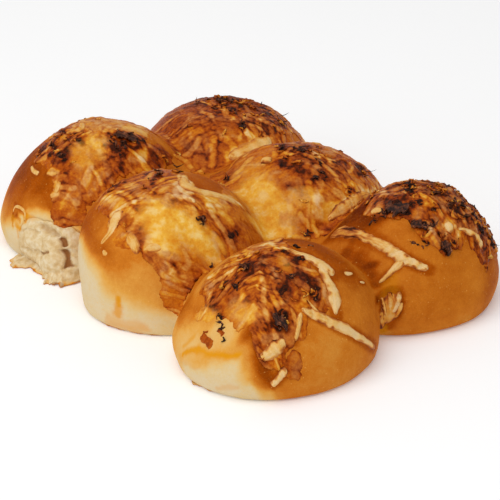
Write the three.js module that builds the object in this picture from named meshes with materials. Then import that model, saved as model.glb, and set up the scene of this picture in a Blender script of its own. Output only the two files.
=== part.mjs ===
// A batch of six soft cheese rolls that were baked touching and have grown into one piece of bread, torn from
// a larger batch along the near side. The bread is one solid. The shreds of melted cheese and the charred
// onion pieces that are as large as a berry lie on its crust as solids of their own.
//
// Millimetres, +Z up. X runs along the rows of three rolls, Y across the two rows, and the origin is in the
// middle of the flat base.
import * as THREE from "three";
import { ParametricGeometry } from "three/addons/geometries/ParametricGeometry.js";
import { mergeGeometries, mergeVertices } from "three/addons/utils/BufferGeometryUtils.js";

// ---- Driving sizes ----------------------------------------------------------------------------------------

// Each roll: the middle of its foot, its radii, its height, how far its crown leans over from its foot, and
// two exponents: `plan` is the roundness of a level slice's falloff and `dome` that of the crown.
const ROLLS = {
  left: { x: -66.5, y: -30, rx: 39, ry: 39.5, height: 47.5, leanX: 2.5, leanY: 5, plan: 2, dome: 1.8 },
  middle: { x: 3, y: -35, rx: 37, ry: 37.5, height: 48.5, leanX: -2.5, leanY: -3, plan: 2.3, dome: 2.2 },
  front: { x: 67.5, y: -32.5, rx: 37, ry: 39, height: 43, leanX: 1.5, leanY: 3.5, plan: 1.95, dome: 1.7 },
  right: { x: 61, y: 33.5, rx: 35, ry: 37.5, height: 46, leanX: 2.5, leanY: 3.5, plan: 1.95, dome: 1.5 },
  back: { x: -63.5, y: 33.5, rx: 38.5, ry: 38.5, height: 41, leanX: 0.5, leanY: -1, plan: 2.15, dome: 2.1 },
  inner: { x: -1.5, y: 30, rx: 38.5, ry: 38, height: 42.5, leanX: -1, leanY: -2.5, plan: 2, dome: 1.9 },
};
// Dough that filled the gaps where four rolls meet, and the crumb left standing between two torn rolls.
const FILLS = [
  { x: 33, y: -1, rx: 20, ry: 20, height: 22 },
  { x: -32, y: -0.5, rx: 20, ry: 20, height: 26 },
  { x: -42, y: -56, rx: 12, ry: 12.5, height: 19 },
];
const WIDEST = 0.2; // height of a roll's widest slice, as a share of its height
const UNDERCUT = 0.78; // how slowly the roll draws in below that slice, as a share of its height
const CREASE = 2; // softness of the crease between two rolls
const CREASE_FILLED = 2.5; // extra softness where cheese has run into the inner creases
const FILLED = { x: -12, y: 2, reachX: 45, reachY: 22 }; // where that is
const FOOT_ROUNDING = 1.6; // rounding of the edge between side and base
const UNEVEN = 0.45; // how far the crust strays in and out, and
const UNEVEN_WAVES = 5; // the number of long waves that it is made of, whose lengths go up by a step
const UNEVEN_LENGTH = 24;
const UNEVEN_STEP = 6;
const UNEVEN_TIP = 0.6; // most that a wave's heading is tipped up or down

// The crust is a sheet that is measured over the bread from its middle, by u along X and v along Y.
// Over the core it is seen straight from above. Beyond the core's edge it goes down over the outer rolls
// like a fan, to the core's own level, and then straight down to the base.
const CORE = { x: 60, y: 30, z: 9 };
const FAN = 62; // length of the crust from above the core's edge down to the core's level
const SKIRT = 9; // and from there down to the base
const REACH = 75; // no crust is further than this from the core
const COLUMNS = 64;
const ROWS = 48;
const STRIDE = 1.5; // coarse step along a ray towards the crust, then halved this many times
const HALVINGS = 16;
const SLOPE_REACH = 0.6; // the crust's slope is measured over this far to each side

// Toppings, each along a line over the crust: [u, v] points, width and thickness.
const TOPPING_GAP = 0.45; // between a topping's underside and the crust, at its thinnest
const SHREDS = {
  right_long: {
    line: [[42, 13], [56, 10.6], [65, 11], [79, 12.5], [91, 15.5], [100.5, 22]],
    width: 5.4,
    thick: 2,
  },
  right_branch: { line: [[94.2, 13], [96.4, 10], [99.5, 6.5]], width: 3.8, thick: 1.6 },
  right_low: { line: [[111, 6], [118, 7.6], [125, 6]], width: 7.5, thick: 2.4 },
  right_far: { line: [[94, 51], [99, 58], [104, 65]], width: 3.6, thick: 1.6 },
  front_long: {
    line: [[100, -46], [102, -39], [105.5, -32.4], [110, -26], [115, -20], [123, -10.8]],
    width: 4.8,
    thick: 2.2,
  },
  front_arc: { line: [[76, -27.5], [80, -24.5], [85, -21.8], [90.4, -18.2]], width: 4, thick: 1.8 },
  front_tail: { line: [[89.5, -25], [94, -25.2], [98.5, -25.3], [103, -26.2]], width: 4.6, thick: 2 },
  front_lump: { line: [[113.5, -76], [111.5, -69], [109.5, -61.5]], width: 6, thick: 2 },
  front_stub: { line: [[123, -78], [120.4, -72.3], [117.6, -66]], width: 3.8, thick: 1.9 },
  middle_hook: { line: [[8, -57.5], [5, -62], [5, -67], [4, -71]], width: 3.8, thick: 1.6 },
  middle_lump: { line: [[15, -63], [18, -65.4], [20.5, -67]], width: 4.6, thick: 1.8 },
  middle_ridge: { line: [[5, -34], [8.5, -29.5], [13.5, -26], [16.5, -20.5]], width: 5, thick: 1.8 },
  back_valley: { line: [[-35.5, 22], [-35.4, 29], [-34.8, 37.5], [-35.2, 46]], width: 5, thick: 1.8 },
};
const ONIONS = {
  right_top: { line: [[66.5, 21.5], [70, 24], [74, 25.5]], width: 5.4, thick: 1.4 },
  right_middle: { line: [[79, 24.5], [81.6, 26.3], [84.4, 28.5]], width: 3.4, thick: 1.3 },
  right_side: { line: [[92.5, 31], [95, 33.2], [97.2, 35.6]], width: 4.6, thick: 1.4 },
  front_middle: { line: [[100.6, -60], [102.7, -57.8], [104.8, -55.4]], width: 4.8, thick: 1.3 },
  left_top: { line: [[-54, -24.5], [-50.4, -22.4], [-46.5, -21]], width: 4.4, thick: 1.4 },
};
const TOPPING_STATIONS = 12;
const TOPPING_SIDES = 8;
const LOOK_AHEAD = 0.02; // share of a topping's line over which its direction is measured
const WELD = 1e-3; // corners closer than this are one

// ---- The bread's field: negative inside, zero on the crust, and roughly the distance in millimetres ---------

// A roll: rho^plan + rise^dome = 1, where rho is the plan distance from the leaning axis in radii and rise is
// the height above the widest slice, or the depth below it, in shares of the crown or of the undercut.
function rollField(p, r) {
  const widest = WIDEST * r.height;
  const crown = (p.z - widest) / (r.height - widest);
  const lean = THREE.MathUtils.clamp(crown, 0, 1);
  const rise = crown > 0 ? crown : (widest - p.z) / (UNDERCUT * r.height);
  const rho = Math.hypot((p.x - r.x - r.leanX * lean) / r.rx, (p.y - r.y - r.leanY * lean) / r.ry);
  return (Math.sqrt(rho ** r.plan + rise ** r.dome) - 1) * 0.5 * (r.rx + r.ry);
}

// A fill: half of an ellipsoid that stands on the base.
function fillField(p, f) {
  const away = Math.hypot((p.x - f.x) / f.rx, (p.y - f.y) / f.ry, Math.max(p.z, 0) / f.height);
  return (away - 1) * 0.5 * (f.rx + f.height);
}

// The unevenness of hand-rolled dough: a mean of sine waves, each a golden angle on from the last in plan and
// tipped to and fro.
function uneven(p) {
  let sum = 0;
  for (let wave = 1; wave <= UNEVEN_WAVES; wave++) {
    const heading = wave * Math.PI * (3 - Math.sqrt(5));
    const tip = UNEVEN_TIP * Math.sin(wave);
    const along = p.x * Math.cos(heading) + p.y * Math.sin(heading) + p.z * tip;
    sum += Math.sin((2 * Math.PI * along) / (UNEVEN_LENGTH + UNEVEN_STEP * wave) + wave * wave);
  }
  return (2 * UNEVEN * sum) / UNEVEN_WAVES;
}

// The rolls and fills run together by a smooth minimum: -k ln(sum of exp(-field / k)). A quarter-round
// around the foot draws the bread in close to the base.
function breadField(p) {
  const near = ((p.x - FILLED.x) / FILLED.reachX) ** 2 + ((p.y - FILLED.y) / FILLED.reachY) ** 2;
  const k = CREASE + CREASE_FILLED * Math.exp(-near);
  const fields = [
    ...Object.values(ROLLS).map((roll) => rollField(p, roll)),
    ...FILLS.map((fill) => fillField(p, fill)),
  ];
  const least = Math.min(...fields);
  const sum = fields.reduce((total, field) => total + Math.exp((least - field) / k), 0);
  const lift = THREE.MathUtils.clamp(1 - p.z / FOOT_ROUNDING, 0, 1);
  const foot = FOOT_ROUNDING * (1 - Math.sqrt(1 - lift * lift));
  return least - k * Math.log(sum) + foot + uneven(p);
}

// ---- The crust as a sheet -----------------------------------------------------------------------------------

// The point of the crust at (u, v), written into target. A ray leaves the core there, and the crust is where
// the field along it turns positive, found by coarse steps and then by halving.
function crustPoint(u, v, target) {
  const x = THREE.MathUtils.clamp(u, -CORE.x, CORE.x);
  const y = THREE.MathUtils.clamp(v, -CORE.y, CORE.y);
  const overX = Math.abs(u - x);
  const overY = Math.abs(v - y);
  const over = Math.max(overX, overY);
  const turn = over === 0 ? 0 : (Math.PI / 4) * (overX >= overY ? overY / overX : 2 - overX / overY);
  const fall = Math.min(over / FAN, 1) * (Math.PI / 2);
  const level = over >= FAN;
  const direction = new THREE.Vector3(
    Math.cos(turn) * Math.sign(u - x) * (level ? 1 : Math.sin(fall)),
    Math.sin(turn) * Math.sign(v - y) * (level ? 1 : Math.sin(fall)),
    level ? 0 : Math.cos(fall),
  );
  const drop = THREE.MathUtils.clamp((over - FAN) / SKIRT, 0, 1) * CORE.z;
  const ray = new THREE.Ray(new THREE.Vector3(x, y, CORE.z - drop), direction);
  let outer = STRIDE;
  while (outer < REACH && breadField(ray.at(outer, target)) < 0) outer += STRIDE;
  let inner = outer - STRIDE;
  for (let halving = 0; halving < HALVINGS; halving++) {
    const middle = (inner + outer) / 2;
    if (breadField(ray.at(middle, target)) < 0) inner = middle;
    else outer = middle;
  }
  return ray.at(inner, target);
}

// The crust's outward direction at a point: the way the field grows fastest.
function crustNormal(point) {
  const slope = (axis) => {
    const ahead = point.clone().addScaledVector(axis, SLOPE_REACH);
    const behind = point.clone().addScaledVector(axis, -SLOPE_REACH);
    return breadField(ahead) - breadField(behind);
  };
  return new THREE.Vector3(
    slope(new THREE.Vector3(1, 0, 0)),
    slope(new THREE.Vector3(0, 1, 0)),
    slope(new THREE.Vector3(0, 0, 1)),
  ).normalize();
}

// Drops what only draws the geometry, so that pieces weld where their corners meet.
function welded(geometry) {
  geometry.deleteAttribute("normal");
  geometry.deleteAttribute("uv");
  return mergeVertices(geometry, WELD);
}

// The bread: the crust's sheet down to the base, closed by the flat base inside the sheet's own rim.
function breadGeometry() {
  const halfU = CORE.x + FAN + SKIRT;
  const halfV = CORE.y + FAN + SKIRT;
  const at = (column, row, target) =>
    crustPoint(halfU * ((2 * column) / COLUMNS - 1), halfV * ((2 * row) / ROWS - 1), target);
  const sheet = new ParametricGeometry((s, t, target) => at(s * COLUMNS, t * ROWS, target), COLUMNS, ROWS);
  const rim = [];
  for (let i = 0; i < COLUMNS; i++) rim.push(at(i, 0, new THREE.Vector3()));
  for (let j = 0; j < ROWS; j++) rim.push(at(COLUMNS, j, new THREE.Vector3()));
  for (let i = COLUMNS; i > 0; i--) rim.push(at(i, ROWS, new THREE.Vector3()));
  for (let j = ROWS; j > 0; j--) rim.push(at(0, j, new THREE.Vector3()));
  const base = new THREE.ShapeGeometry(new THREE.Shape(rim.map((p) => new THREE.Vector2(p.x, p.y))));
  base.index.array.reverse(); // the base faces down
  return welded(mergeGeometries([sheet, base]));
}

// ---- Toppings -----------------------------------------------------------------------------------------------

// A ball drawn out along a line over the crust: its poles go to the line's ends, its section is flattened to
// the given width and thickness, and it lies TOPPING_GAP clear of the crust below each of its points.
function toppingGeometry({ line, width, thick }) {
  const route = new THREE.CatmullRomCurve3(line.map(([u, v]) => new THREE.Vector3(u, v, 0)));
  const on = (share) => {
    const { x: u, y: v } = route.getPointAt(THREE.MathUtils.clamp(share, 0, 1));
    return crustPoint(u, v, new THREE.Vector3());
  };
  const ball = new THREE.SphereGeometry(1, TOPPING_SIDES, TOPPING_STATIONS);
  const place = ball.getAttribute("position");
  for (let i = 0; i < place.count; i++) {
    const share = Math.acos(THREE.MathUtils.clamp(place.getY(i), -1, 1)) / Math.PI;
    const centre = on(share);
    const normal = crustNormal(centre);
    const along = on(share + LOOK_AHEAD).sub(on(share - LOOK_AHEAD)).normalize();
    const across = new THREE.Vector3().crossVectors(normal, along).normalize();
    const fullness = Math.sqrt(Math.hypot(place.getX(i), place.getZ(i)));
    const turn = Math.atan2(place.getZ(i), place.getX(i));
    const side = 0.5 * width * fullness * Math.cos(turn);
    const rise = 0.5 * thick * (1 + fullness * Math.sin(turn));
    const foot = centre.clone().addScaledVector(across, side);
    foot.addScaledVector(normal, -breadField(foot));
    foot.addScaledVector(crustNormal(foot), TOPPING_GAP + rise);
    place.setXYZ(i, foot.x, foot.y, foot.z);
  }
  return welded(ball);
}

// ---- Materials and the object -------------------------------------------------------------------------------

const CRUST = new THREE.MeshStandardMaterial({ name: "crust", color: 0xc07a34, roughness: 0.5 });
const CHEESE = new THREE.MeshStandardMaterial({ name: "cheese", color: 0xe2b070, roughness: 0.45 });
const ONION = new THREE.MeshStandardMaterial({ name: "onion", color: 0x2c1a12, roughness: 0.6 });

function named(name, geometry, material) {
  const mesh = new THREE.Mesh(geometry, material);
  mesh.name = name;
  return mesh;
}

const batch = new THREE.Group();
batch.add(named("rolls", breadGeometry(), CRUST));
for (const [place, shred] of Object.entries(SHREDS))
  batch.add(named(`cheese_${place}`, toppingGeometry(shred), CHEESE));
for (const [place, onion] of Object.entries(ONIONS))
  batch.add(named(`onion_${place}`, toppingGeometry(onion), ONION));

// The origin goes under the middle of the whole.
const bounds = new THREE.Box3().setFromObject(batch, true);
const middle = bounds.getCenter(new THREE.Vector3());
batch.position.set(-middle.x, -middle.y, -bounds.min.z);

const object = new THREE.Group();
object.add(batch);

export default object;
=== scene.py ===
"""The looks of a batch of six soft cheese rolls, torn from a larger batch along the near side.

The bread is one piece whose crust is a sheet measured over it by u along X and v along Y, in millimetres,
as in the CAD. Over each roll lies a finer sheet of melted and browned cheese. Shreds of cheese, charred onion
and torn crumb lie on them. Shapes are worked out in millimetres about the bread's own middle, and they are
turned into metres in the CAD frame when they become meshes.
"""

import logging
import math
from dataclasses import dataclass, field
from enum import Enum

import bpy
import numpy as np
from mathutils import Matrix, Vector
from mathutils.geometry import delaunay_2d_cdt


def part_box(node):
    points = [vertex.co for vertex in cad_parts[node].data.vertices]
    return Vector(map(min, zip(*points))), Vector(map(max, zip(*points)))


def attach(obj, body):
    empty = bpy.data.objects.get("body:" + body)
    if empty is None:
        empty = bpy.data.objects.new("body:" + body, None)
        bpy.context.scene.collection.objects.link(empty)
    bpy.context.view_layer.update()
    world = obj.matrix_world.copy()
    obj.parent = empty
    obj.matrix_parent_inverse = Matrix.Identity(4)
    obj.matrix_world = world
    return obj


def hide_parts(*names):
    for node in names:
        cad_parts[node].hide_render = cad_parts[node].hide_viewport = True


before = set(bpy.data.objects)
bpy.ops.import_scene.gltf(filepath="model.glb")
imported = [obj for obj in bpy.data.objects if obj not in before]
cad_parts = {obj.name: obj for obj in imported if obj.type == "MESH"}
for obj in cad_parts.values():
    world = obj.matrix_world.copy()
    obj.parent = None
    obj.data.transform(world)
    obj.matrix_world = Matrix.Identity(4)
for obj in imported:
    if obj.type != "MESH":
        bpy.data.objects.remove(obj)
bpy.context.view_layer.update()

LOG = logging.getLogger("cheese_rolls")
MM = 0.001
Socket = bpy.types.NodeSocket


# ---- Numbers that vary over space ----


def hashed(cells: np.ndarray, seed: int) -> np.ndarray:
    """A repeatable whole number for each cell of a lattice, from its three whole coordinates.

    Args:
        cells: whole numbers, (..., 3).
        seed: another number for another lattice.

    Returns:
        Whole numbers from 0 to 65535, (...).
    """
    mixed = cells[..., 0] * 73856093 ^ cells[..., 1] * 19349663 ^ cells[..., 2] * 83492791 ^ seed * 6542989
    mixed = (mixed ^ (mixed >> 15)) * 2246822519 & 0xFFFFFFFF
    mixed = (mixed ^ (mixed >> 13)) * 3266489917 & 0xFFFFFFFF
    return (mixed ^ (mixed >> 16)) & 0xFFFF


def noise(points: np.ndarray, size: float, seed: int = 0) -> np.ndarray:
    """Smooth noise: slopes at lattice corners, blended by 6t^5 - 15t^4 + 10t^3 between them.

    Args:
        points: places in millimetres, (..., 3).
        size: distance between lattice corners, in millimetres.
        seed: another number for another pattern.

    Returns:
        Values from about -1 to 1, (...).
    """
    place = points / size
    cell = np.floor(place).astype(np.int64)
    inside = place - cell
    blend = inside**3 * (inside * (inside * 6 - 15) + 10)
    total = np.zeros(points.shape[:-1])
    for corner in np.ndindex(2, 2, 2):
        turn = hashed(cell + corner, seed) * (2 * math.pi / 65536)
        rise = np.sin(turn * 7.0)
        flat = np.sqrt(1 - rise**2)
        away = inside - corner
        slope = away[..., 0] * flat * np.cos(turn) + away[..., 1] * flat * np.sin(turn) + away[..., 2] * rise
        share = np.where(corner, blend, 1 - blend).prod(axis=-1)
        total += share * slope
    return 1.7 * total


def layered(points: np.ndarray, size: float, layers: int, seed: int = 0, ridged: bool = False) -> np.ndarray:
    """Noise in layers, each of half the size and half the weight of the last.

    Args:
        points: places in millimetres, (..., 3).
        size: size of the coarsest layer, in millimetres.
        layers: how many layers.
        seed: another number for another pattern.
        ridged: each layer is 1 - 2 |noise|, which has sharp ridges.

    Returns:
        Values from about -1 to 1, (...).
    """
    total, weight = np.zeros(points.shape[:-1]), 0.0
    for layer in range(layers):
        part = noise(points, size / 2**layer, seed + 17 * layer)
        total += (1 - 2 * np.abs(part) if ridged else part) / 2**layer
        weight += 1 / 2**layer
    return total / weight


def nearest_seed(points: np.ndarray, size: float, seed: int = 0) -> np.ndarray:
    """Distances to the nearest of places strewn one in each lattice cell, in cell sizes.

    Args:
        points: places in millimetres, (..., 3).
        size: size of a cell, in millimetres.
        seed: another number for another pattern.

    Returns:
        The distances, (...).
    """
    place = points / size
    cell = np.floor(place).astype(np.int64)
    nearest = np.full(points.shape[:-1], 9.0)
    for step in np.ndindex(3, 3, 3):
        other = cell + step - 1
        strewn = np.stack([hashed(other, seed + axis) / 65536 for axis in (0, 101, 202)], axis=-1)
        nearest = np.minimum(nearest, np.linalg.norm(other + strewn - place, axis=-1))
    return nearest


def unit(vectors: np.ndarray) -> np.ndarray:
    """The vectors, (..., n), drawn to a length of 1."""
    return vectors / np.linalg.norm(vectors, axis=-1, keepdims=True)


def ramp(value: np.ndarray, low: float, high: float) -> np.ndarray:
    """0 below low and 1 above high, with an S-curve 3t^2 - 2t^3 between them."""
    t = np.clip((value - low) / (high - low), 0, 1)
    return t * t * (3 - 2 * t)


def toward(value: np.ndarray, target: float | np.ndarray, share: np.ndarray) -> np.ndarray:
    """The value moved to the target by a share from 0 to 1."""
    return value + (target - value) * share


# ---- The dough ----


@dataclass(frozen=True)
class Roll:
    """One roll, in millimetres: its foot's middle, radii, height, its crown's lean and two exponents."""

    x: float
    y: float
    rx: float
    ry: float
    height: float
    lean_x: float
    lean_y: float
    plan: float
    dome: float
    widest: float = 0.2
    undercut: float = 0.78

    def depth(self, p: np.ndarray) -> np.ndarray:
        """Roughly the distance outside the roll: (sqrt(rho^plan + rise^dome) - 1) times its mean radius.

        Args:
            p: places in millimetres, (..., 3).

        Returns:
            Distances in millimetres, negative inside, (...).
        """
        widest = self.widest * self.height
        crown = (p[..., 2] - widest) / (self.height - widest)
        lean = np.clip(crown, 0, 1)
        rise = np.where(crown > 0, crown, (widest - p[..., 2]) / (self.undercut * self.height))
        rho = np.hypot(
            (p[..., 0] - self.x - self.lean_x * lean) / self.rx,
            (p[..., 1] - self.y - self.lean_y * lean) / self.ry,
        )
        return (np.sqrt(rho**self.plan + rise**self.dome) - 1) * 0.5 * (self.rx + self.ry)


@dataclass(frozen=True)
class Fill:
    """Dough that filled a gap, in millimetres: half of an ellipsoid that stands on the base."""

    x: float
    y: float
    rx: float
    ry: float
    height: float

    def depth(self, p: np.ndarray) -> np.ndarray:
        """Roughly the distance outside the fill, negative inside: a roll's rule, without a lean."""
        rise = np.maximum(p[..., 2], 0) / self.height
        x, y = (p[..., 0] - self.x) / self.rx, (p[..., 1] - self.y) / self.ry
        away = np.sqrt(x**2 + y**2 + rise**2)
        return (away - 1) * 0.5 * (self.rx + self.height)


@dataclass
class Dough:
    """The bread's shape, as in the CAD: rolls and fills run together, and the crust as a sheet over them."""

    rolls: dict[str, Roll] = field(
        default_factory=lambda: {
            "left": Roll(-66.5, -30, 39, 39.5, 47.5, 2.5, 5, 2, 1.8),
            "middle": Roll(3, -35, 37, 37.5, 48.5, -2.5, -3, 2.3, 2.2),
            "front": Roll(67.5, -32.5, 37, 39, 43, 1.5, 3.5, 1.95, 1.7),
            "right": Roll(61, 33.5, 35, 37.5, 46, 2.5, 3.5, 1.95, 1.5),
            "back": Roll(-63.5, 33.5, 38.5, 38.5, 41, 0.5, -1, 2.15, 2.1),
            "inner": Roll(-1.5, 30, 38.5, 38, 42.5, -1, -2.5, 2, 1.9),
        }
    )
    fills: tuple[Fill, ...] = (
        Fill(33, -1, 20, 20, 22),
        Fill(-32, -0.5, 20, 20, 26),
        Fill(-42, -56, 12, 12.5, 19),
    )
    crease: float = 2.0
    crease_filled: float = 2.5
    filled_x: float = -12.0
    filled_y: float = 2.0
    filled_reach_x: float = 45.0
    filled_reach_y: float = 22.0
    foot: float = 1.6
    uneven: float = 0.45
    uneven_waves: int = 5
    uneven_length: float = 24.0
    uneven_step: float = 6.0
    uneven_tip: float = 0.6
    core_x: float = 60.0
    core_y: float = 30.0
    core_z: float = 9.0
    fan: float = 62.0
    skirt: float = 9.0

    def swell(self, p: np.ndarray) -> np.ndarray:
        """The unevenness of hand-rolled dough: a mean of sine waves, each a golden angle on from the last."""
        total = np.zeros(p.shape[:-1])
        for wave in range(1, self.uneven_waves + 1):
            heading = wave * math.pi * (3 - math.sqrt(5))
            tip = self.uneven_tip * math.sin(wave)
            along = p[..., 0] * math.cos(heading) + p[..., 1] * math.sin(heading) + p[..., 2] * tip
            length = self.uneven_length + self.uneven_step * wave
            total += np.sin(2 * math.pi * along / length + wave * wave)
        return 2 * self.uneven * total / self.uneven_waves

    def depth(self, p: np.ndarray) -> np.ndarray:
        """The bread's field: the smooth minimum -k ln(sum of exp(-depth / k)) of all rolls and fills.

        Args:
            p: places in millimetres, (..., 3).

        Returns:
            Roughly the distance outside the crust, negative inside, (...).
        """
        near = ((p[..., 0] - self.filled_x) / self.filled_reach_x) ** 2
        near = near + ((p[..., 1] - self.filled_y) / self.filled_reach_y) ** 2
        k = self.crease + self.crease_filled * np.exp(-near)
        parts = np.stack([part.depth(p) for part in (*self.rolls.values(), *self.fills)])
        least = parts.min(axis=0)
        total = np.exp((least - parts) / k).sum(axis=0)
        lift = np.clip(1 - p[..., 2] / self.foot, 0, 1)
        return least - k * np.log(total) + self.foot * (1 - np.sqrt(1 - lift**2)) + self.swell(p)

    def outward(self, p: np.ndarray, reach: float = 0.6) -> np.ndarray:
        """The crust's outward way, in which the field grows fastest, by differences over a short reach."""
        steps = reach * np.eye(3)
        return unit(np.stack([self.depth(p + step) - self.depth(p - step) for step in steps], axis=-1))

    def leave(self, start: np.ndarray, way: np.ndarray, low: np.ndarray, high: np.ndarray) -> np.ndarray:
        """How far along each ray the bread ends, by halving between two distances 14 times."""
        for _ in range(14):
            middle = 0.5 * (low + high)
            inside = self.depth(start + way * middle[..., None]) < 0
            low, high = np.where(inside, middle, low), np.where(inside, high, middle)
        return low

    def crust(self, start: np.ndarray, way: np.ndarray, reach: float = 75.0) -> np.ndarray:
        """Where a grid of rays from inside the bread leaves it: a coarse grid finds the way out in steps.

        Args:
            start: the rays' starts, (rows, columns, 3).
            way: their unit directions, (rows, columns, 3).
            reach: a length that no ray needs more than, in millimetres.

        Returns:
            Points on the crust, (rows, columns, 3).
        """
        stride, step, margin = 4, 1.5, 4.0
        rows, columns = start.shape[:2]
        row, column = np.arange(0, rows + stride, stride), np.arange(0, columns + stride, stride)
        pick = np.ix_(np.minimum(row, rows - 1), np.minimum(column, columns - 1))
        found = np.full((len(row), len(column)), reach)
        going = np.ones(found.shape, bool)
        for far in np.arange(step, reach, step):
            out = going & (self.depth(start[pick] + way[pick] * far) >= 0)
            found[out] = far
            going &= ~out
        r, c = np.arange(rows) / stride, np.arange(columns) / stride
        r0, c0 = r.astype(int), c.astype(int)
        r1, c1 = np.minimum(r0 + 1, len(row) - 1), np.minimum(c0 + 1, len(column) - 1)
        corners = np.stack([found[np.ix_(a, b)] for a in (r0, r1) for b in (c0, c1)])
        low, high = np.maximum(corners.min(axis=0) - margin, 0), corners.max(axis=0) + margin
        parts = 6
        first = high.copy()
        for part in range(parts, 0, -1):
            far = low + (high - low) * part / parts
            first = np.where(self.depth(start + way * far[..., None]) >= 0, far, first)
        low = np.maximum(low, first - (high - low) / parts)
        return start + way * self.leave(start, way, low, first)[..., None]

    def over(self, u: np.ndarray, v: np.ndarray) -> np.ndarray:
        """Points of the crust's sheet: seen from above over the core, and going down like a fan beyond it.

        Args:
            u: a grid of places along X over the crust, in millimetres, (rows, columns).
            v: the same along Y.

        Returns:
            Points on the crust, (rows, columns, 3).
        """
        x, y = np.clip(u, -self.core_x, self.core_x), np.clip(v, -self.core_y, self.core_y)
        over_x, over_y = np.abs(u - x), np.abs(v - y)
        over = np.maximum(over_x, over_y)
        least = np.maximum(over, 1e-12)
        turn = (math.pi / 4) * np.where(over_x >= over_y, over_y / least, 2 - over_x / least)
        fall = np.minimum(over / self.fan, 1) * (math.pi / 2)
        side = np.where(over >= self.fan, 1.0, np.sin(fall))
        way_x, way_y = np.cos(turn) * np.sign(u - x) * side, np.sin(turn) * np.sign(v - y) * side
        way = np.stack([way_x, way_y, np.where(over >= self.fan, 0, np.cos(fall))], axis=-1)
        drop = np.clip((over - self.fan) / self.skirt, 0, 1) * self.core_z
        return self.crust(np.stack([x, y, self.core_z - drop], axis=-1), unit(way))


# ---- What lies where on the crust ----


class Look(Enum):
    """Looks that are dabbed on the crust."""

    COVER = "melted cheese lies here"
    PALE = "cheese that hardly browned"
    MELT = "smooth bright yellow cheese"
    GOLDEN = "golden cheese"
    LACE = "red-brown lace of cheese"
    SCORCH = "dark brown cheese"
    CRISP = "cheese that stands up in crisp lumps"
    CHAR = "black"
    BARE = "crust without cheese"
    # Dark crust; along the crease between the front and right rolls it is painted shade in the crease.
    BROWN_AND_CREASE_SHADE = "dark crust"
    GOLD = "golden crust"
    DOUGH = "pale side that another roll covered"
    OIL = "orange oil soaked into the crust"
    CRUMB = "torn crumb"
    SOFT = "cheese that melts into the crust without a browned edge"
    TAN = "dry strands of pinkish-brown cheese"


CHEESE_TONES = {
    Look.PALE: 0.08,
    Look.MELT: 0.3,
    Look.TAN: 0.36,
    Look.GOLDEN: 0.48,
    Look.LACE: 0.67,
    Look.SCORCH: 0.86,
}
CRUST_TONES = {Look.BROWN_AND_CREASE_SHADE: 0.95, Look.GOLD: 0.45, Look.DOUGH: 0.04}


@dataclass(frozen=True)
class Dab:
    """A look along a short line over the crust: (u, v) of its two ends, half its width and its strength."""

    look: Look
    u0: float
    v0: float
    u1: float
    v1: float
    width: float
    strength: float = 1.0

    def cover(self, u: np.ndarray, v: np.ndarray) -> np.ndarray:
        """1 inside the dab, falling off in an S-curve across its edge by the distance from its line."""
        along_u, along_v = self.u1 - self.u0, self.v1 - self.v0
        length = max(along_u**2 + along_v**2, 1e-9)
        share = np.clip(((u - self.u0) * along_u + (v - self.v0) * along_v) / length, 0, 1)
        away = np.hypot(u - self.u0 - share * along_u, v - self.v0 - share * along_v)
        edge = 0.45 + (0.6 if self.look in (*CRUST_TONES, Look.SOFT, Look.MELT) else 0.22) * self.width
        return self.strength * (1 - ramp(away, self.width - edge, self.width + edge))


def dabs(look: Look, *rows: tuple[float, ...]) -> list[Dab]:
    """Several dabs of one look, one from each row of numbers."""
    return [Dab(look, *row) for row in rows]


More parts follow.
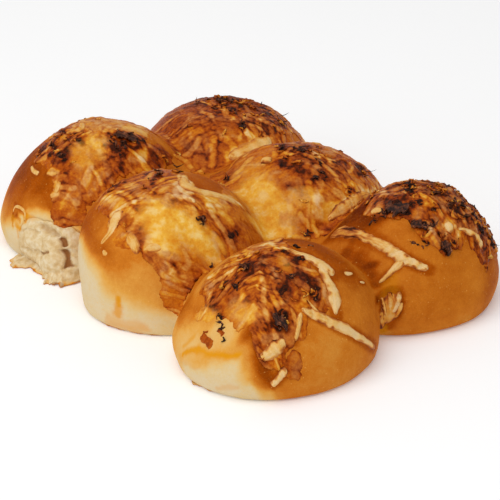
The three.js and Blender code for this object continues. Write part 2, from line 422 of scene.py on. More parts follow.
CRUST_DABS = [
    *dabs(
        Look.GOLD,
        (55, -78, 52, -90, 5, 0.7), (2, -72, 30, -72, 9, 0.8), (-95, -86, -62, -82, 4, 0.5),
        (98, -62, 118, -40, 22, 0.4), (52, -36, 50, -64, 6, 0.7), (16, -82, 34, -82, 5, 0.8),
        (60, -80, 100, -75, 9, 0.8), (100, -92, 126, -97, 5, 0.3), (118, 3, 131, 4, 2.5, 0.9),
        (58, -40, 53, -58, 4, 0.4), (66, -78, 100, -78, 5, 0.4), (100, -81, 108, -82, 6, 0.5),
        (127, -84, 131, -80, 5, 0.5), (6, -80, 34, -83, 5, 0.4),
    ),
    # Darker crust; the dabs along the crease between the front and right rolls, and on the slopes down into
    # it, are painted shade in the crease.
    *dabs(
        Look.BROWN_AND_CREASE_SHADE,
        (62, -20, 92, -12, 6, 0.6), (3, -20, 11, -24, 7, 0.5), (22, -10, 26, -22, 3.5, 0.4),
        (-14, -64, -4, -66, 5, 0.35), (42, 14, 62, 13.4, 4), (48, 20, 66, 19, 5),
        (60, 5, 100, 4.5, 2.5, 0.7), (105, 8, 109, 3, 2.4), (86, 6.5, 88, 7.5, 2, 0.9),
        (-100, -62, -62, -64, 7, 0.5), (101, -64, 105, -76, 3.6, 0.6), (108, -74, 118, -80, 4, 0.5),
        (118, -80, 124, -88, 4, 0.35), (50, -78, 76, -77, 5, 0.45), (100, 84, 120, 76, 12, 0.3),
        (-118, -30, -100, -64, 16, 0.5), (-100, -72, -76, -74, 8, 0.4), (-96, -84, -82, -84, 5, 0.2),
        (-58, -64, -50, -70, 4, 0.4), (-14, -71, 16, -72.6, 4.5, 0.4),
    ),
    *dabs(
        Look.DOUGH,
        (70, -99, 112, -98, 7), (94, -92, 108, -90, 4.5, 0.8), (62, -84, 92, -78, 7, 0.4),
        (-14, -80, 2, -86, 7), (-10, -90, 8, -98, 9), (8, -95, 34, -98, 8, 0.85), (-94, -101, -60, -98, 7.5),
        (-78, -92, -40, -80, 6, 0.75), (-60, -92, -30, -94, 9), (-62, -84, -50, -78, 4, 0.7),
        (112, -99, 131, -97, 5, 0.8), (128, -92, 131, -86, 5, 0.5), (6, -84, 24, -90, 5, 0.3),
    ),
    *dabs(
        Look.BROWN_AND_CREASE_SHADE,
        (-77, -79.6, -68, -78.6, 0.8, 0.5), (-68, -78.6, -59, -80, 0.8, 0.5),
        (-59.4, -79.6, -58.8, -83.4, 0.9, 0.4), (-76, -83.6, -70, -81.8, 1, 0.6),
        (-70, -81.8, -64, -83.6, 0.9, 0.5), (-76, -83, -72, -87.6, 0.9, 0.5),
        (-62, -86, -67, -86.6, 0.8, 0.35),
    ),
    *dabs(
        Look.OIL,
        (64, -91, 75, -86.6, 1.2), (75, -86.6, 90, -85.2, 1.3), (90, -85.2, 108, -84, 1),
        (62, -88, 70, -83.5, 1, 0.6), (60, -93, 84, -90.5, 1.8, 0.35), (17.2, -85.6, 16.4, -90, 1.1),
        (16.4, -90, 15.4, -93.6, 1.5, 0.8), (15.4, -93.6, 13.4, -100, 2.4, 0.35),
        (-60, -80.4, -54, -80.6, 1.4, 0.8), (-69, -85.4, -60, -87, 1.3, 0.8), (-66, -87, -64, -91, 0.8, 0.6),
        (12, -99, 26, -98, 1.6, 0.5), (-76, -84.4, -70, -84, 1, 0.5), (12, -98, 24, -98, 3, 0.4),
        (100, 10, 108, 8, 3, 0.3), (118, 3.5, 128, 4, 2, 0.7), (102, -97, 116, -95, 1.5, 0.3),
        (-30, -2, -16, 2, 3, 0.4),
    ),
    *dabs(Look.CRUMB, (-52.5, -90, -36, -91, 9), (-52, -82, -38, -80, 2.8), (-58, -95, -40, -94, 5)),
]
FRONT_DABS = [
    *dabs(
        Look.SOFT,
        (54, -34, 54, -66, 8), (58, -74, 100, -77, 6), (57, -66, 60, -74, 5), (62, -28, 70, -28, 3),
        (86, -71, 107, -77, 4, 0.8), (112, -60, 114, -74, 1.6, 0.6),
    ),
    *dabs(
        Look.COVER,
        (62, -33, 96, -33, 7), (64, -46, 97, -50, 12), (58, -58, 100, -62, 9), (66, -66, 98, -69, 5),
        (103, -55, 112, -72, 5.5), (117, -59, 118, -65, 2.8), (56, -40, 57, -62, 6),
    ),
    *dabs(
        Look.LACE,
        (66, -35, 96, -38, 8, 0.75), (64, -52, 98, -56, 10, 0.85), (58, -63, 80, -66, 5, 0.85),
        (101, -56, 104, -66, 4, 0.9), (108, -66, 112, -74, 3, 0.8), (115, -57, 118, -63, 3, 0.6),
        (76.6, -82.2, 86, -82.2, 1.5, 0.9),
    ),
    *dabs(
        Look.GOLDEN,
        (54, -38, 58, -58, 5.5, 0.7), (76, -35, 83, -38, 3, 0.8), (97, -37, 99, -44, 2.5, 0.7),
        (80, -56, 90, -60, 3, 0.6), (78, -67, 99, -71, 4.5, 0.7), (96, -40, 99, -60, 2.4, 0.6),
        (93, -54, 98, -62, 2, 0.6), (62, -52, 66, -46, 3, 0.7), (66, -74, 76, -73, 3, 0.6),
    ),
    *dabs(
        Look.MELT,
        (86, -68, 98, -71, 3.4, 0.35), (64, -73, 78, -73, 2.5, 0.3), (76, -35, 82, -37, 2, 0.3),
    ),
    *dabs(
        Look.TAN,
        (61, -35, 69, -38, 2, 0.5), (90, -27.5, 104, -28.5, 1.3, 0.8), (82.5, -43.5, 86, -46.5, 1.8, 0.9),
        (106.5, -60, 109, -72, 1.5, 0.9), (115, -57, 118.5, -62, 2.2, 0.6), (52, -63, 62, -65, 2.2, 0.7),
        (94, -46, 98, -55, 1.4, 0.7), (74, -43, 76, -47, 1.2, 0.8), (84, -66, 97, -73, 2, 0.6),
        (99, -36, 103, -40, 1.2, 0.8),
    ),
    *dabs(
        Look.PALE,
        (61, -31.6, 69, -31.2, 2.3), (88, -53.5, 90, -57, 1.8), (83.5, -61, 87, -63, 1.7),
        (56, -40, 64, -41, 1.8, 0.7), (60, -53, 64, -53.5, 1.5, 0.7), (62, -76, 76, -74.5, 2, 0.5),
        (52, -44, 57, -46, 2, 0.6), (50, -58, 56, -60, 2, 0.6), (79, -49, 82, -52, 1, 0.8),
        (96, -66, 100, -71, 1.3, 0.6),
    ),
    *dabs(
        Look.SCORCH,
        (70, -49, 76, -54, 4.5), (74, -47, 81, -50, 2, 0.8), (89, -31, 95, -33, 3.6),
        (91, -43, 93.5, -50, 2), (99.5, -52, 101, -60, 2), (103, -58, 105.5, -62, 2),
        (78, -26, 81, -31, 1.8), (81, -41.6, 87, -43, 1.3), (72, -33, 73, -45, 1.3, 0.8),
        (63, -60.5, 73, -57.5, 1.8, 0.7), (66, -70, 77, -69, 1.4, 0.8), (85, -60, 93, -66, 1, 0.7),
        (102, -63, 105, -74, 1.8, 0.7), (86.5, -34, 88, -40, 1.3), (80, -82.6, 84, -82.2, 0.8, 0.6),
        (75.5, -80, 79, -79.2, 0.5, 0.6), (86, -76, 90.5, -77.6, 0.7, 0.7), (84, -46, 90, -57, 1, 0.75),
        (88, -45, 95, -58, 0.9, 0.7), (76, -52, 84, -62, 1.4, 0.6), (94.5, -38, 97.5, -46, 1, 0.7),
        (80, -33, 81.5, -40, 0.8, 0.6), (110.5, -60, 113, -76, 0.6, 0.8), (60, -44, 66, -45, 0.8, 0.5),
        (67, -36, 68, -44, 0.8, 0.5), (97, -55, 99, -60, 1.2, 0.4), (92, -40, 96, -50, 1.2, 0.6),
        (52, -36, 58, -60, 4, 0.25), (68, -68, 84, -71, 2.4, 0.5), (76, -24, 84, -34, 4, 0.3),
        (62, -22, 68, -27, 3, 0.4), (78, -64, 84, -66, 2, 0.5),
    ),
    *dabs(
        Look.CHAR,
        (72.2, -30.5, 73.8, -31, 1.5), (71, -25, 74, -22.8, 1.2), (74.5, -18.8, 77, -16.8, 1.2),
        (78.5, -26.6, 81, -29.5, 1), (94, -30.3, 97, -34.6, 1.1), (69.5, -48.5, 72, -50, 1.8),
        (101, -54, 104, -60.6, 1.7), (91, -45, 92.6, -49, 1), (79.5, -71.6, 84, -73.2, 0.8),
        (84, -73.2, 88, -75.6, 0.8), (90.5, -79.3, 93.5, -79.6, 0.6), (77, -59.4, 79, -60, 0.7),
        (87, -37, 88, -39, 0.7), (89, -32, 91, -33, 0.9, 0.7),
    ),
    *dabs(Look.BARE, (104, -38, 118, -50, 5), (98, -14, 112, -32, 6), (62, -22, 76, -22, 3, 0.8)),
]
RIGHT_DABS = [
    *dabs(
        Look.COVER,
        (50, 34, 70, 50, 9), (70, 52, 94, 70, 9), (66, 36, 88, 44, 9), (84, 36, 92, 34, 5.5),
        (96, 68, 104, 78, 3), (46, 46, 84, 76, 14), (60, 21, 72, 25, 4), (78, 27, 90, 28, 2.6),
    ),
    *dabs(Look.COVER, (50, 76, 46, 88, 4), (64, 80, 66, 96, 4), (82, 80, 86, 92, 3.4), (44, 60, 36, 62, 3)),
    *dabs(Look.GOLDEN, (64, 84, 66, 96, 2, 0.8), (48, 80, 46, 88, 2, 0.7)),
    *dabs(Look.CRISP, (54, 40, 92, 66, 8, 0.8), (52, 50, 84, 76, 12, 0.7)),
    *dabs(
        Look.SCORCH,
        (62, 26, 72, 36, 4, 0.35), (52, 36, 96, 68, 14, 0.62), (58, 24, 90, 34, 6, 0.35),
        (88, 32, 92, 37, 3), (50, 52, 84, 78, 13, 0.5), (62, 44, 84, 50, 7, 0.5), (52, 26, 60, 36, 5, 0.6),
        (60, 28, 74, 32, 6, 0.35), (62, 43, 78, 50, 2, 0.6), (84, 31, 96, 33, 3, 0.6),
        (92, 30, 95, 41, 2.4, 0.9), (64, 24, 74, 26, 3, 0.6), (72, 58, 88, 66, 2, 0.5),
        (54, 40, 62, 48, 3, 0.6), (77.5, 36, 78.5, 41, 1, 0.8),
    ),
    *dabs(
        Look.GOLDEN,
        (72, 36, 76, 41, 3, 0.75), (81.5, 38, 83.5, 44, 2, 0.9), (77, 54, 81, 51, 1.2, 0.6),
        (68, 49, 71, 48, 1.4, 0.6), (62, 20, 65, 19, 1.8, 0.8), (94, 63, 98, 69, 1, 0.6),
        (80, 58, 84, 60, 1.2, 0.5),
    ),
    *dabs(
        Look.TAN,
        (53, 28, 60, 35, 1.1, 0.9), (57, 27, 63, 33, 1.1, 0.9), (60, 18.5, 65, 19.5, 1.8, 0.7),
        (74, 31, 78, 28, 1.6, 0.8), (84, 30, 92, 29.5, 1.8, 0.9), (76, 44, 84, 52, 1.3, 0.7),
        (80, 44, 90, 54, 1.1, 0.7), (88, 46, 92, 52, 1.2, 0.7), (64, 40, 72, 43, 1.2, 0.6),
        (84, 34, 90, 36, 1.6, 0.8), (66, 52, 78, 58, 1.4, 0.5), (82, 33, 84, 38, 1, 0.6),
        (54, 42, 62, 52, 3, 0.5), (78, 52, 88, 62, 2.4, 0.5), (70, 60, 80, 70, 3, 0.5),
        (92, 54, 98, 62, 1.4, 0.7),
    ),
    *dabs(
        Look.PALE,
        (87.2, 40, 88.2, 43.5, 2.3), (86.5, 37.5, 88, 38.5, 1.3, 0.7), (89, 57, 90, 53, 0.8, 0.8),
        (91.5, 49, 93, 46.5, 1, 0.8),
    ),
    *dabs(
        Look.CHAR,
        (58.5, 38, 65, 35.5, 2), (69, 46, 74, 45, 0.9), (92, 66, 90, 62.5, 1.3),
        (92.6, 60, 88.4, 53, 0.8, 0.8), (101, 75.5, 105, 77.4, 1.6), (81, 54, 83, 48.5, 0.8),
        (85.6, 56, 86.4, 52, 0.8), (78.5, 36.6, 79, 39, 0.6), (83, 33, 84, 32, 0.9), (78, 58, 84, 58, 0.8),
        (66.5, 20.6, 69, 24.4, 2), (66, 26, 74.4, 25.6, 1.6), (71.4, 30, 72.6, 33.6, 1.5),
        (78.8, 24.2, 83.6, 28.4, 1.5), (89, 22, 90.6, 24.8, 1.8), (95.4, 30, 97, 34.6, 1),
        (97, 34.6, 94.4, 40.6, 0.7), (63.8, 16.9, 67, 16, 0.8), (96, 66.4, 99.6, 69.4, 1.1),
        (56, 46, 62, 50, 1, 0.7), (72, 62, 80, 66, 1, 0.6), (62, 56, 68, 60, 1, 0.6),
        (93.5, 32, 94, 36, 0.7, 0.8),
    ),
]
MIDDLE_DABS = [
    *dabs(Look.SOFT, (3, -19, 11, -24, 9), (23, -8, 26, -24, 5), (-14, -64, 8, -69, 6, 0.7)),
    *dabs(
        Look.SOFT,
        (12, -12, 16, -20, 4), (20, -62, 28, -62, 2), (-12, -42, -2, -44, 3, 0.7),
        (33, -50, 35, -62, 3, 0.7), (26, -66, 30, -76, 2.6, 0.8), (31, -78, 33, -89, 2.2, 0.8),
        (10, -26, 17, -16, 3, 0.7),
    ),
    *dabs(
        Look.COVER,
        (-10, -36, 20, -36, 10), (-10, -50, 30, -50, 10), (20, -30, 32, -30, 8), (-10, -56.5, 26, -59, 4.5),
        (32.5, -62, 34.5, -86, 3), (14, -16, 18, -28, 5), (-14, -8, 12, -6, 8), (28, -12, 30, -30, 3.5),
        (24, -64, 30, -68, 2.4),
    ),
    *dabs(Look.BARE, (3, -20, 10, -23, 6.5), (23, -10, 25.5, -21, 2.4, 0.85), (-12, -67, 12, -70, 4)),
    *dabs(
        Look.GOLDEN,
        (15, -30, 28, -29, 5, 0.55), (18, -14, 26, -14, 4, 0.35), (-8, -38, 6, -44, 4, 0.6),
        (20, -28, 27, -33, 4), (18, -12, 22, -24, 2.4, 0.6), (26, -31, 26, -41, 3.5),
        (10, -61, 16, -60.5, 2), (-10, -57, 10, -58.5, 2, 0.7), (16, -40, 20, -44, 3, 0.6),
        (16, -32, 30, -34, 3.4, 0.6), (22, -22, 29, -27, 3, 0.6), (20, -14, 27, -20, 2.6, 0.5),
        (32, -54, 34, -62, 2.4, 0.7),
    ),
    *dabs(
        Look.LACE,
        (31, -64, 32, -74, 3, 0.25), (4, -44, 12, -46, 2.4, 0.7), (11, -60, 21, -62.6, 1.6, 0.5),
        (-6, -49, 12, -50, 1.3, 0.7), (-8, -52.6, 12, -53.4, 0.9, 0.7), (-10, -38, -4, -31, 3.6),
        (-12, -44, -4, -46, 2.4), (0, -31, 3, -38, 1.6, 0.7), (16, -31, 19, -43, 2.2, 0.8),
        (-12, -60, 2, -61, 1.3, 0.7), (28, -40, 30, -32, 2, 0.6),
    ),
    *dabs(
        Look.MELT,
        (18, -50, 30, -45, 7), (20, -54, 26, -58, 4.5), (30, -50, 34, -42, 2.4, 0.8),
        (14, -47, 18, -52, 3, 0.7), (29, -38, 33, -36, 2, 0.6), (22, -58, 27, -62, 2, 0.7),
    ),
    *dabs(
        Look.GOLDEN,
        (33, -74, 35, -88, 2.4, 0.9), (32, -28, 33, -18, 2.4, 0.6), (30, -50, 33, -58, 2, 0.8),
        (25, -50, 28, -58, 1.2, 0.6), (18, -55, 22, -51, 1, 0.5),
    ),
    *dabs(
        Look.TAN,
        (7, -33, 14, -36, 2.6, 0.8), (10, -38, 15, -44, 2.4, 0.8), (-8, -47, 10, -49, 1.6, 0.7),
        (28, -62, 31, -60, 1.4, 0.7), (-4, -27, 6, -32, 2, 0.6), (-10, -57.4, -2, -57.6, 1.4, 0.6),
        (31, -74, 33, -80, 1, 0.6), (16, -35.5, 17.6, -34.4, 1.4, 0.9), (18, -17, 21, -28, 1.2, 0.6),
        (10, -41, 16, -42, 1.2, 0.7), (29, -63, 32, -72, 1.3, 0.7), (12, -64.6, 14, -63, 0.9, 0.8),
    ),
    *dabs(
        Look.PALE,
        (-1, -25.6, 5, -29, 1.5, 0.9), (6, -31, 13, -36, 4, 0.7), (2, -58, 4, -61.6, 2.4, 0.8),
        (10, -66, 18, -66, 2.4, 0.3), (15.5, -14, 17, -27, 2, 0.9), (6, -31, 13, -28.6, 1.5, 0.9),
        (-12, -56, 13, -55.8, 1.5, 0.8), (-6, -51.2, 6, -51.4, 0.8, 0.8), (22.6, -63, 24.6, -61.6, 1.6),
        (-7, -47.6, -3, -46.6, 1.4, 0.6), (32, -66, 33, -70, 1.1), (4, -48.6, 12, -48.2, 0.8, 0.7),
        (22, -45, 30, -43, 2.4, 0.6), (-8, -54, 4, -54.2, 0.9, 0.7), (19, -24, 21, -30, 1.2, 0.7),
        (24, -26, 27, -24, 1.2, 0.6),
    ),
    *dabs(
        Look.SCORCH,
        (36, -58, 37, -74, 0.9, 0.7), (-12, -46, -12.5, -54, 2.5), (13.5, -37, 15, -43, 0.9, 0.5),
        (29, -22, 32, -29, 2, 0.5), (-4, -39, 3, -42, 1.4, 0.8), (-10, -32, -3, -36, 1.6, 0.8),
        (24, -34, 28, -40, 2, 0.45), (12, -60, 16, -59, 0.7, 0.4), (-8, -26, -4, -25, 1.6, 0.9),
        (7, -60, 8, -64, 0.7, 0.3), (16, -36, 18, -37, 0.7, 0.7), (19, -63.4, 21, -65.6, 0.7, 0.4),
        (-2, -45, 8, -45.4, 0.6, 0.5), (30, -60, 31.5, -68, 0.7, 0.3),
    ),
    *dabs(
        Look.CHAR,
        (25, -35.4, 26, -39, 1.3), (30, -22.5, 31, -28.5, 1.1, 0.8), (-10, -33, -4, -35.5, 0.9),
        (-7, -26.3, -5, -25, 1), (-7, -39.3, -4, -40.5, 0.6, 0.8), (-2, -39.8, 1.5, -42.2, 0.7),
        (37, -49, 37, -51, 0.6), (-12.6, -49, -12, -52, 1, 0.8), (27, -37, 28, -38, 0.6, 0.8),
    ),
]
LEFT_DABS = [
    *dabs(
        Look.SOFT,
        (-60, -10, -72, -28, 8), (-66, -24, -60, -34, 4, 0.8), (-58, -56, -52, -60, 3, 0.7),
        (-86, -53, -72, -57, 3, 0.8),
    ),
    *dabs(
        Look.COVER,
        (-64, -14, -68, -30, 9), (-58, -36, -48, -40, 10), (-50, -22, -44, -22, 8), (-66, -46, -60, -52, 6),
        (-46, -50, -43, -72, 6), (-80, -46, -66, -50, 4.5), (-86, -53, -70, -56, 2.5),
        (-76, -14, -86, -30, 10), (-46, -8, -40, -20, 4), (-92, -28, -104, -32, 3.6),
        (-88, -10, -98, -4, 3.4), (-66, -6, -64, 2, 3),
    ),
    *dabs(
        Look.LACE,
        (-68, -55, -58, -58, 2.6, 0.5), (-44, -32, -42, -54, 4, 0.5), (-46, -50, -43, -72, 6, 0.4),
        (-50, -50, -48, -60, 3, 0.4), (-40, -24, -39, -60, 1.5, 0.7), (-70, -26, -64, -28, 2, 0.4),
        (-80, -32, -78, -40, 4, 0.8), (-66, -40, -56, -52, 5, 0.8), (-46, -6, -42, -14, 3.4, 0.9),
        (-58, -56, -52, -60, 2.4, 0.6),
    ),
    *dabs(
        Look.MELT,
        (-57, -41, -51, -45, 4, 0.4), (-54, -33, -50, -37, 3, 0.5), (-58, -34, -54, -38, 2.5, 0.4),
    ),
    *dabs(
        Look.GOLDEN,
        (-60, -40, -57, -44, 2, 0.7), (-46, -18, -43, -22, 2.5, 0.8), (-48, -42, -47, -52, 2, 0.6),
        (-55, -48, -52, -52, 2, 0.6), (-70, -40, -66, -44, 1.6, 0.5),
    ),
    *dabs(
        Look.PALE,
        (-56, -12, -57, -18, 3.4, 0.9), (-60, -12, -68, -24, 6, 0.6), (-71, -33, -70, -38, 2.8, 0.6),
        (-59, -33, -56, -35, 2, 0.4), (-44, -17.6, -42.8, -21, 1.6, 0.9), (-60, -58.5, -56, -57, 1.4, 0.8),
        (-52, -61, -51, -66, 1.4, 0.8), (-47, -60, -46, -70, 0.6, 0.7), (-44, -38, -43.4, -54, 0.5, 0.6),
        (-53, -33.6, -51, -36, 1.6, 0.8),
    ),
    *dabs(
        Look.TAN,
        (-68, -22, -62, -30, 4, 0.5), (-66, -27, -60, -31, 1.6, 0.6), (-46, -54, -44, -60, 1.4, 0.5),
        (-60, -59, -55, -57.6, 1.4, 0.7), (-46, -58, -45, -68, 0.8, 0.7), (-42, -40, -41, -56, 1.2, 0.7),
        (-76, -44, -68, -46, 1, 0.5), (-41.6, -20, -41, -26, 1.2, 0.7), (-78, -30, -72, -34, 2, 0.5),
        (-55, -16, -54, -20, 2, 0.4), (-46, -44, -45, -54, 1.2, 0.6), (-43, -60, -42, -72, 1.2, 0.7),
        (-60, -22, -66, -30, 3, 0.6), (-70, -20, -74, -28, 2, 0.5),
    ),
    *dabs(
        Look.SCORCH,
        (-50, -18, -47, -28, 4), (-66, -42, -60, -50, 4, 0.8), (-76, -48, -66, -50, 2.5, 0.8),
        (-54, -22, -50, -28, 2.4, 0.8), (-58, -38, -62, -38, 1.6), (-45, -8, -41, -16, 2.4, 0.8),
        (-76.6, -37, -77, -45, 1.8, 0.9), (-86, -54, -78, -57, 3, 0.8), (-53, -50, -51, -58, 1, 0.6),
        (-70, -52, -62, -54, 1.8, 0.8), (-72, -32, -68, -35, 1.6, 0.4), (-56, -31.6, -53, -32.6, 1, 0.5),
        (-41, -12, -39, -20, 1.6, 0.6), (-46, -26, -40, -31, 1.8, 0.7), (-56, -28, -50, -32, 1.4, 0.8),
        (-48.6, -56, -49, -66, 0.6, 0.35), (-47, -15, -45.6, -24, 0.8, 0.8),
        (-40, -34, -39.4, -48, 0.6, 0.7), (-73, -40, -66, -38.6, 0.9, 0.7),
    ),
    *dabs(
        Look.CHAR,
        (-54, -22.6, -50, -19, 1.1), (-50.5, -22.6, -48, -25, 1.3), (-49, -14.8, -48, -15.4, 0.9),
        (-55, -26, -53.6, -28, 0.8, 0.8), (-62.4, -49.6, -57.5, -50.4, 1.3),
        (-48.6, -19, -48, -17, 0.8, 0.8), (-73, -48.6, -67, -48.4, 0.9, 0.8), (-69, -52, -66, -53, 0.8, 0.7),
        (-52, -29.6, -49, -28, 0.8, 0.8), (-43.8, -2.2, -41.6, -3.6, 0.9),
        (-60.5, -38, -61.5, -38.5, 0.8, 0.8), (-47, -28, -44, -29, 0.7, 0.8),
    ),
]
BACK_DABS = [
    *dabs(
        Look.LACE,
        (-84, 20, -52, 20, 16, 0.95), (-80, 46, -48, 46, 18, 0.95), (-42, 12, -40, 56, 7, 0.8),
    ),
    *dabs(Look.SOFT, (-84, 16, -46, 14, 13), (-70, 34, -44, 34, 14, 0.8), (-41, 18, -34, 44, 4)),
    *dabs(Look.GOLDEN, (-46, 8, -42, 20, 6, 0.5), (-39, 46, -38, 62, 3, 0.7)),
    *dabs(
        Look.COVER,
        (-80, 18, -48, 16, 15), (-78, 46, -48, 46, 17), (-42, 8, -36, 24, 7), (-42, 30, -40, 56, 8),
    ),
    *dabs(
        Look.COVER,
        (-66, 58, -63, 74, 4.5), (-50, 60, -46, 80, 3.6), (-84, 44, -98, 47, 3.6), (-84, 24, -94, 20, 3),
        (-74, 60, -80, 70, 3),
    ),
    *dabs(
        Look.GOLDEN,
        (-64, 64, -62, 75, 2.4, 0.8), (-48, 68, -46, 80, 2, 0.7), (-90, 45, -98, 47, 1.8, 0.7),
    ),
    *dabs(Look.CRISP, (-74, 44, -48, 44, 9, 0.6), (-52, 58, -44, 60, 6, 0.6)),
    *dabs(
        Look.LACE,
        (-52, 10, -42, 12, 5, 0.9), (-46, 18, -42, 20, 3), (-78, 22, -56, 16, 8, 0.6),
        (-60, 25, -50, 28, 5, 0.6),
    ),
    *dabs(
        Look.SCORCH,
        (-80, 44, -48, 52, 11, 0.4), (-78, 26, -56, 24, 4, 0.3), (-84, 16, -70, 12, 5, 0.35),
        (-44, 40, -42, 58, 4, 0.4), (-62, 12, -50, 8, 3, 0.25),
    ),
    *dabs(
        Look.GOLDEN,
        (-50, 25, -46, 26, 1.6, 0.6), (-77, 37, -71, 33, 1.6, 0.6), (-37.5, 38, -37, 52, 1.2, 0.8),
        (-46, 6, -38, 10, 2, 0.4), (-38.5, 26, -37.5, 32, 1.2, 0.7),
    ),
    *dabs(
        Look.TAN,
        (-70, 21, -62, 18, 1.4, 0.5), (-62, 26, -55, 24, 1, 0.5), (-50, 16, -44, 14, 1.2, 0.6),
        (-48, 21, -43, 23, 1, 0.6), (-56, 12, -48, 12, 1, 0.5), (-66, 36, -60, 33, 1, 0.5),
        (-52, 40, -48, 37, 1, 0.6), (-44, 24, -41, 28, 1, 0.7), (-74, 28, -66, 25, 1, 0.4),
        (-42, 63, -41, 56, 1.4, 0.6),
    ),
    *dabs(
        Look.PALE,
        (-41, 33, -38.6, 35.5, 1.8), (-53, 33, -51.6, 32, 0.9, 0.9), (-50, 39, -49, 36, 0.8, 0.8),
        (-36, 18, -35, 42, 1.7, 0.8), (-42, 29, -40, 27, 0.9, 0.7),
    ),
    *dabs(
        Look.SCORCH,
        (-75, 42, -62, 37, 2.5), (-70, 47, -63, 43, 2.5), (-60, 43, -55, 35, 2.5, 0.85),
        (-62, 52, -50, 56, 4, 0.8), (-40, 44, -39.5, 49, 1.8, 0.9), (-49, 60, -45, 58, 3, 0.85),
        (-79, 31, -71, 30, 1.8, 0.8), (-67, 32, -59, 29.5, 1.4, 0.8), (-47, 35, -44, 32, 2.2, 0.8),
        (-84, 40, -80, 56, 6, 0.5),
    ),
    *dabs(
        Look.CHAR,
        (-70, 46, -66, 44, 1.3), (-74, 42.4, -70, 40, 1.4), (-57.5, 38.5, -55, 35.5, 1.3),
        (-46, 34, -44, 32.2, 1.5), (-66, 31.6, -63.5, 30.8, 1), (-79, 31.2, -76, 31, 1),
        (-61, 45, -58, 42, 1, 0.7), (-47, 61, -45, 59, 1.2, 0.8), (-76, 46, -71, 44, 1.2, 0.8),
        (-66, 38, -63, 36.6, 0.8, 0.8),
    ),
]
